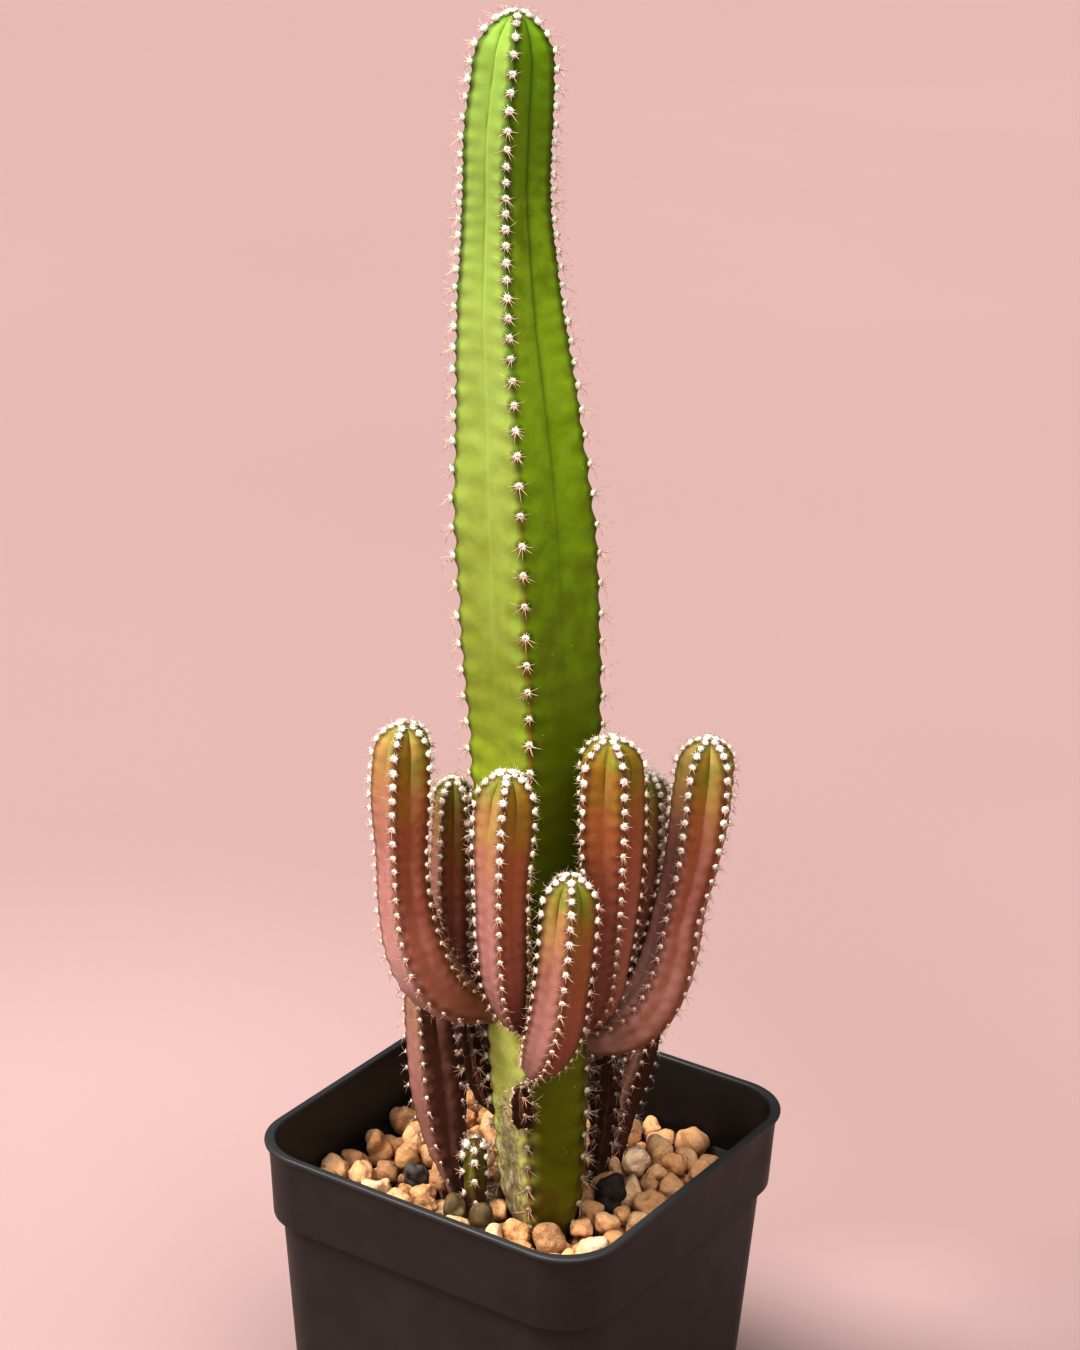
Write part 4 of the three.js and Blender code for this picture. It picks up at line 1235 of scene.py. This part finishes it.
def pot_look():
    """Black-brown plastic: smudged and dusty, with a painted highlight on its lip and painted shade inside.
    """
    g = Graph("pot_plastic")
    height = g.height()
    smudge = g.noise(14, 4, 0.6)
    base = g.mix(g.spread(smudge, 0.35, 0.7), (0.040, 0.032, 0.0285), (0.055, 0.0445, 0.040))
    # Painted highlight along the top of the lip
    lip = g.spread(height, (POT_HEIGHT - 1.2) * MM, (POT_HEIGHT - 0.2) * MM)
    base = g.mix(g.times(lip, 0.7), base, (0.075, 0.083, 0.092))
    # Painted shade: the inside of the pot made near black
    base = g.mix(g.times(g.mark("inside"), 0.7), base, (0.008, 0.006, 0.006))
    dust = g.times(g.spread(g.cells(2.3), 0.07, 0.035), g.spread(g.noise(9, 2), 0.52, 0.66))
    base = g.mix(g.times(dust, 0.5), base, (0.22, 0.19, 0.17))
    roughness = g.spread(smudge, 0.3, 0.7, 0.36, 0.5)
    skin = g.plus(g.times(g.noise(0.35, 2), 0.35), g.noise(7, 2))
    return g.finish(base, roughness, skin, strength=0.12, depth_mm=0.25, Specular_IOR_Level=0.45)


def mix_look():
    g = Graph("potting_mix")
    crumb = g.noise(1.6, 5, 0.7)
    colour = g.mix(g.spread(crumb, 0.35, 0.7), (0.012, 0.007, 0.004), (0.07, 0.04, 0.022))
    colour = g.mix(g.spread(g.noise(0.8, 3, 0.6, (1, 1, 5)), 0.62, 0.7), colour, (0.20, 0.13, 0.07))
    return g.finish(colour, 1.0, crumb, strength=0.9, depth_mm=1.2)


# Painted light on the floor: a paler pool to the left of the pot and a paler patch over the pot's
# cast shadow on its right: their place, how far out they begin and are full, in metres, and share
PAINTED_FLOOR_LIGHT = (((-120, 90, 0), 0.26, 0.07, 0.3), ((100, 46, 0), 0.07, 0.01, 0.25))


def floor_look():
    g = Graph("floor")
    colour = g.mix(g.spread(g.noise(400, 2), 0.3, 0.7), (0.402, 0.309, 0.308), (0.412, 0.316, 0.315))
    for place, far, near, share in PAINTED_FLOOR_LIGHT:
        # Painted light: each patch lightens the floor around its place
        painted_light_share = g.spread(g.away(turned(place)), far, near, 0, share)
        colour = g.mix(painted_light_share, colour, (0.61, 0.49, 0.50))
    return g.finish(colour, 1.0, Specular_IOR_Level=0.0)


# Camera, light and floor
CAMERA_TURN = math.radians(33.547)
CAMERA_DIP = math.radians(21.743)
CAMERA_ROLL = math.radians(1.353)
CAMERA_PLACE = (344.16, -517.48, 444.305)
LENS_MM = 85
SENSOR_MM = 36
FLOOR_SIDE = 12000
FLOOR_DROP = 0.02
SKY = (1.0, 0.88, 0.84)
SKY_STRENGTH = 0.12
VIEW_GAMMA = 0.66
VIEW_EXPOSURE = 0.33


def make_camera():
    """The camera: turned, then dipped, then rolled about the way that it looks."""
    data = bpy.data.cameras.new("camera")
    data.sensor_fit = "VERTICAL"
    data.sensor_height = SENSOR_MM
    data.lens = LENS_MM
    data.clip_start = 0.01
    data.clip_end = 20
    camera = bpy.data.objects.new("camera", data)
    bpy.context.scene.collection.objects.link(camera)
    pose = Matrix.Translation(Vector(CAMERA_PLACE) * MM)
    for angle, axis in ((CAMERA_TURN, "Z"), (math.pi / 2 - CAMERA_DIP, "X"), (CAMERA_ROLL, "Z")):
        pose = pose @ Matrix.Rotation(angle, 4, axis)
    camera.matrix_world = pose
    bpy.context.scene.camera = camera


def add_light(name, spec):
    """A far light that shines on the plant from its bearing and height."""
    bearing, height = (math.radians(angle) for angle in spec["from"])
    level = math.cos(height)
    source = turned((level * math.sin(bearing), -level * math.cos(bearing), math.sin(height)))
    data = bpy.data.lights.new(name, "SUN")
    data.energy = spec["energy"]
    data.color = spec["colour"]
    data.angle = math.radians(spec["width"])
    light = bpy.data.objects.new(name, data)
    light.location = Vector(source)
    light.rotation_euler = (-Vector(source)).to_track_quat("-Z", "Y").to_euler()
    bpy.context.scene.collection.objects.link(light)


# Lights: their bearing from the front and height above the floor in the plant's axes and how wide
# they look, in degrees, their energy and their colour
LIGHTS = {
    "key": {"from": (-76, 57), "energy": 3.3, "colour": (1.0, 0.95, 0.88), "width": 26},
    "fill": {"from": (-15, 45), "energy": 1.3, "colour": (1.0, 0.96, 0.93), "width": 70},
    "top": {"from": (40, 62), "energy": 1.4, "colour": (1.0, 0.97, 0.94), "width": 50},
}


def make_stage():
    """The floor, the sky and the lights."""
    bpy.ops.mesh.primitive_plane_add(size=FLOOR_SIDE * MM, location=(0, 0, -FLOOR_DROP * MM))
    floor = bpy.context.object
    floor.name = "floor"
    floor.data.materials.append(floor_look())
    world = bpy.data.worlds.new("studio")
    world.use_nodes = True
    background = world.node_tree.nodes["Background"]
    background.inputs["Color"].default_value = (*SKY, 1)
    background.inputs["Strength"].default_value = SKY_STRENGTH
    bpy.context.scene.world = world
    for name, spec in LIGHTS.items():
        add_light(name, spec)


# Build
view = bpy.context.scene.view_settings
view.view_transform = "Standard"
view.gamma = VIEW_GAMMA
view.exposure = VIEW_EXPOSURE
make_camera()
make_stage()

SLOTS = {"column": "column_skin", "branch": "branch_skin", "shoot": "shoot_skin", "pup": "pup_skin",
         "withered": "withered_skin"}
skins = {kind: skin_look(SLOTS[kind], {**SHARED_LOOK, **look}) for kind, look in LOOKS.items()}
wool = wool_look()
spines = spine_look()

for stem in stems.values():
    if not stem.spec.get("rooted"):
        settle_foot(stem)

for stem in stems.values():
    make_skin(stem, skins[stem.spec["kind"]])
    places = areole_frames(stem, [other for other in stems.values() if other is not stem])
    make_wool(stem, places, wool)
    make_spines(stem, places, spines)

make_stones({
    "gravel": gravel_look(),
    "grey_stone": plain_stone_look("grey_stone", (0.16, 0.15, 0.15), (0.26, 0.24, 0.22), 0.85, 0.8),
    "olive_stone": plain_stone_look("olive_stone", (0.20, 0.155, 0.085), (0.36, 0.28, 0.17), 0.7, 1.1),
    "charcoal": plain_stone_look("charcoal", (0.06, 0.047, 0.043), (0.36, 0.27, 0.21), 0.85, 0.7),
})
make_pot(pot_look())
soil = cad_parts["potting_mix"]
soil.data.materials.clear()
soil.data.materials.append(mix_look())
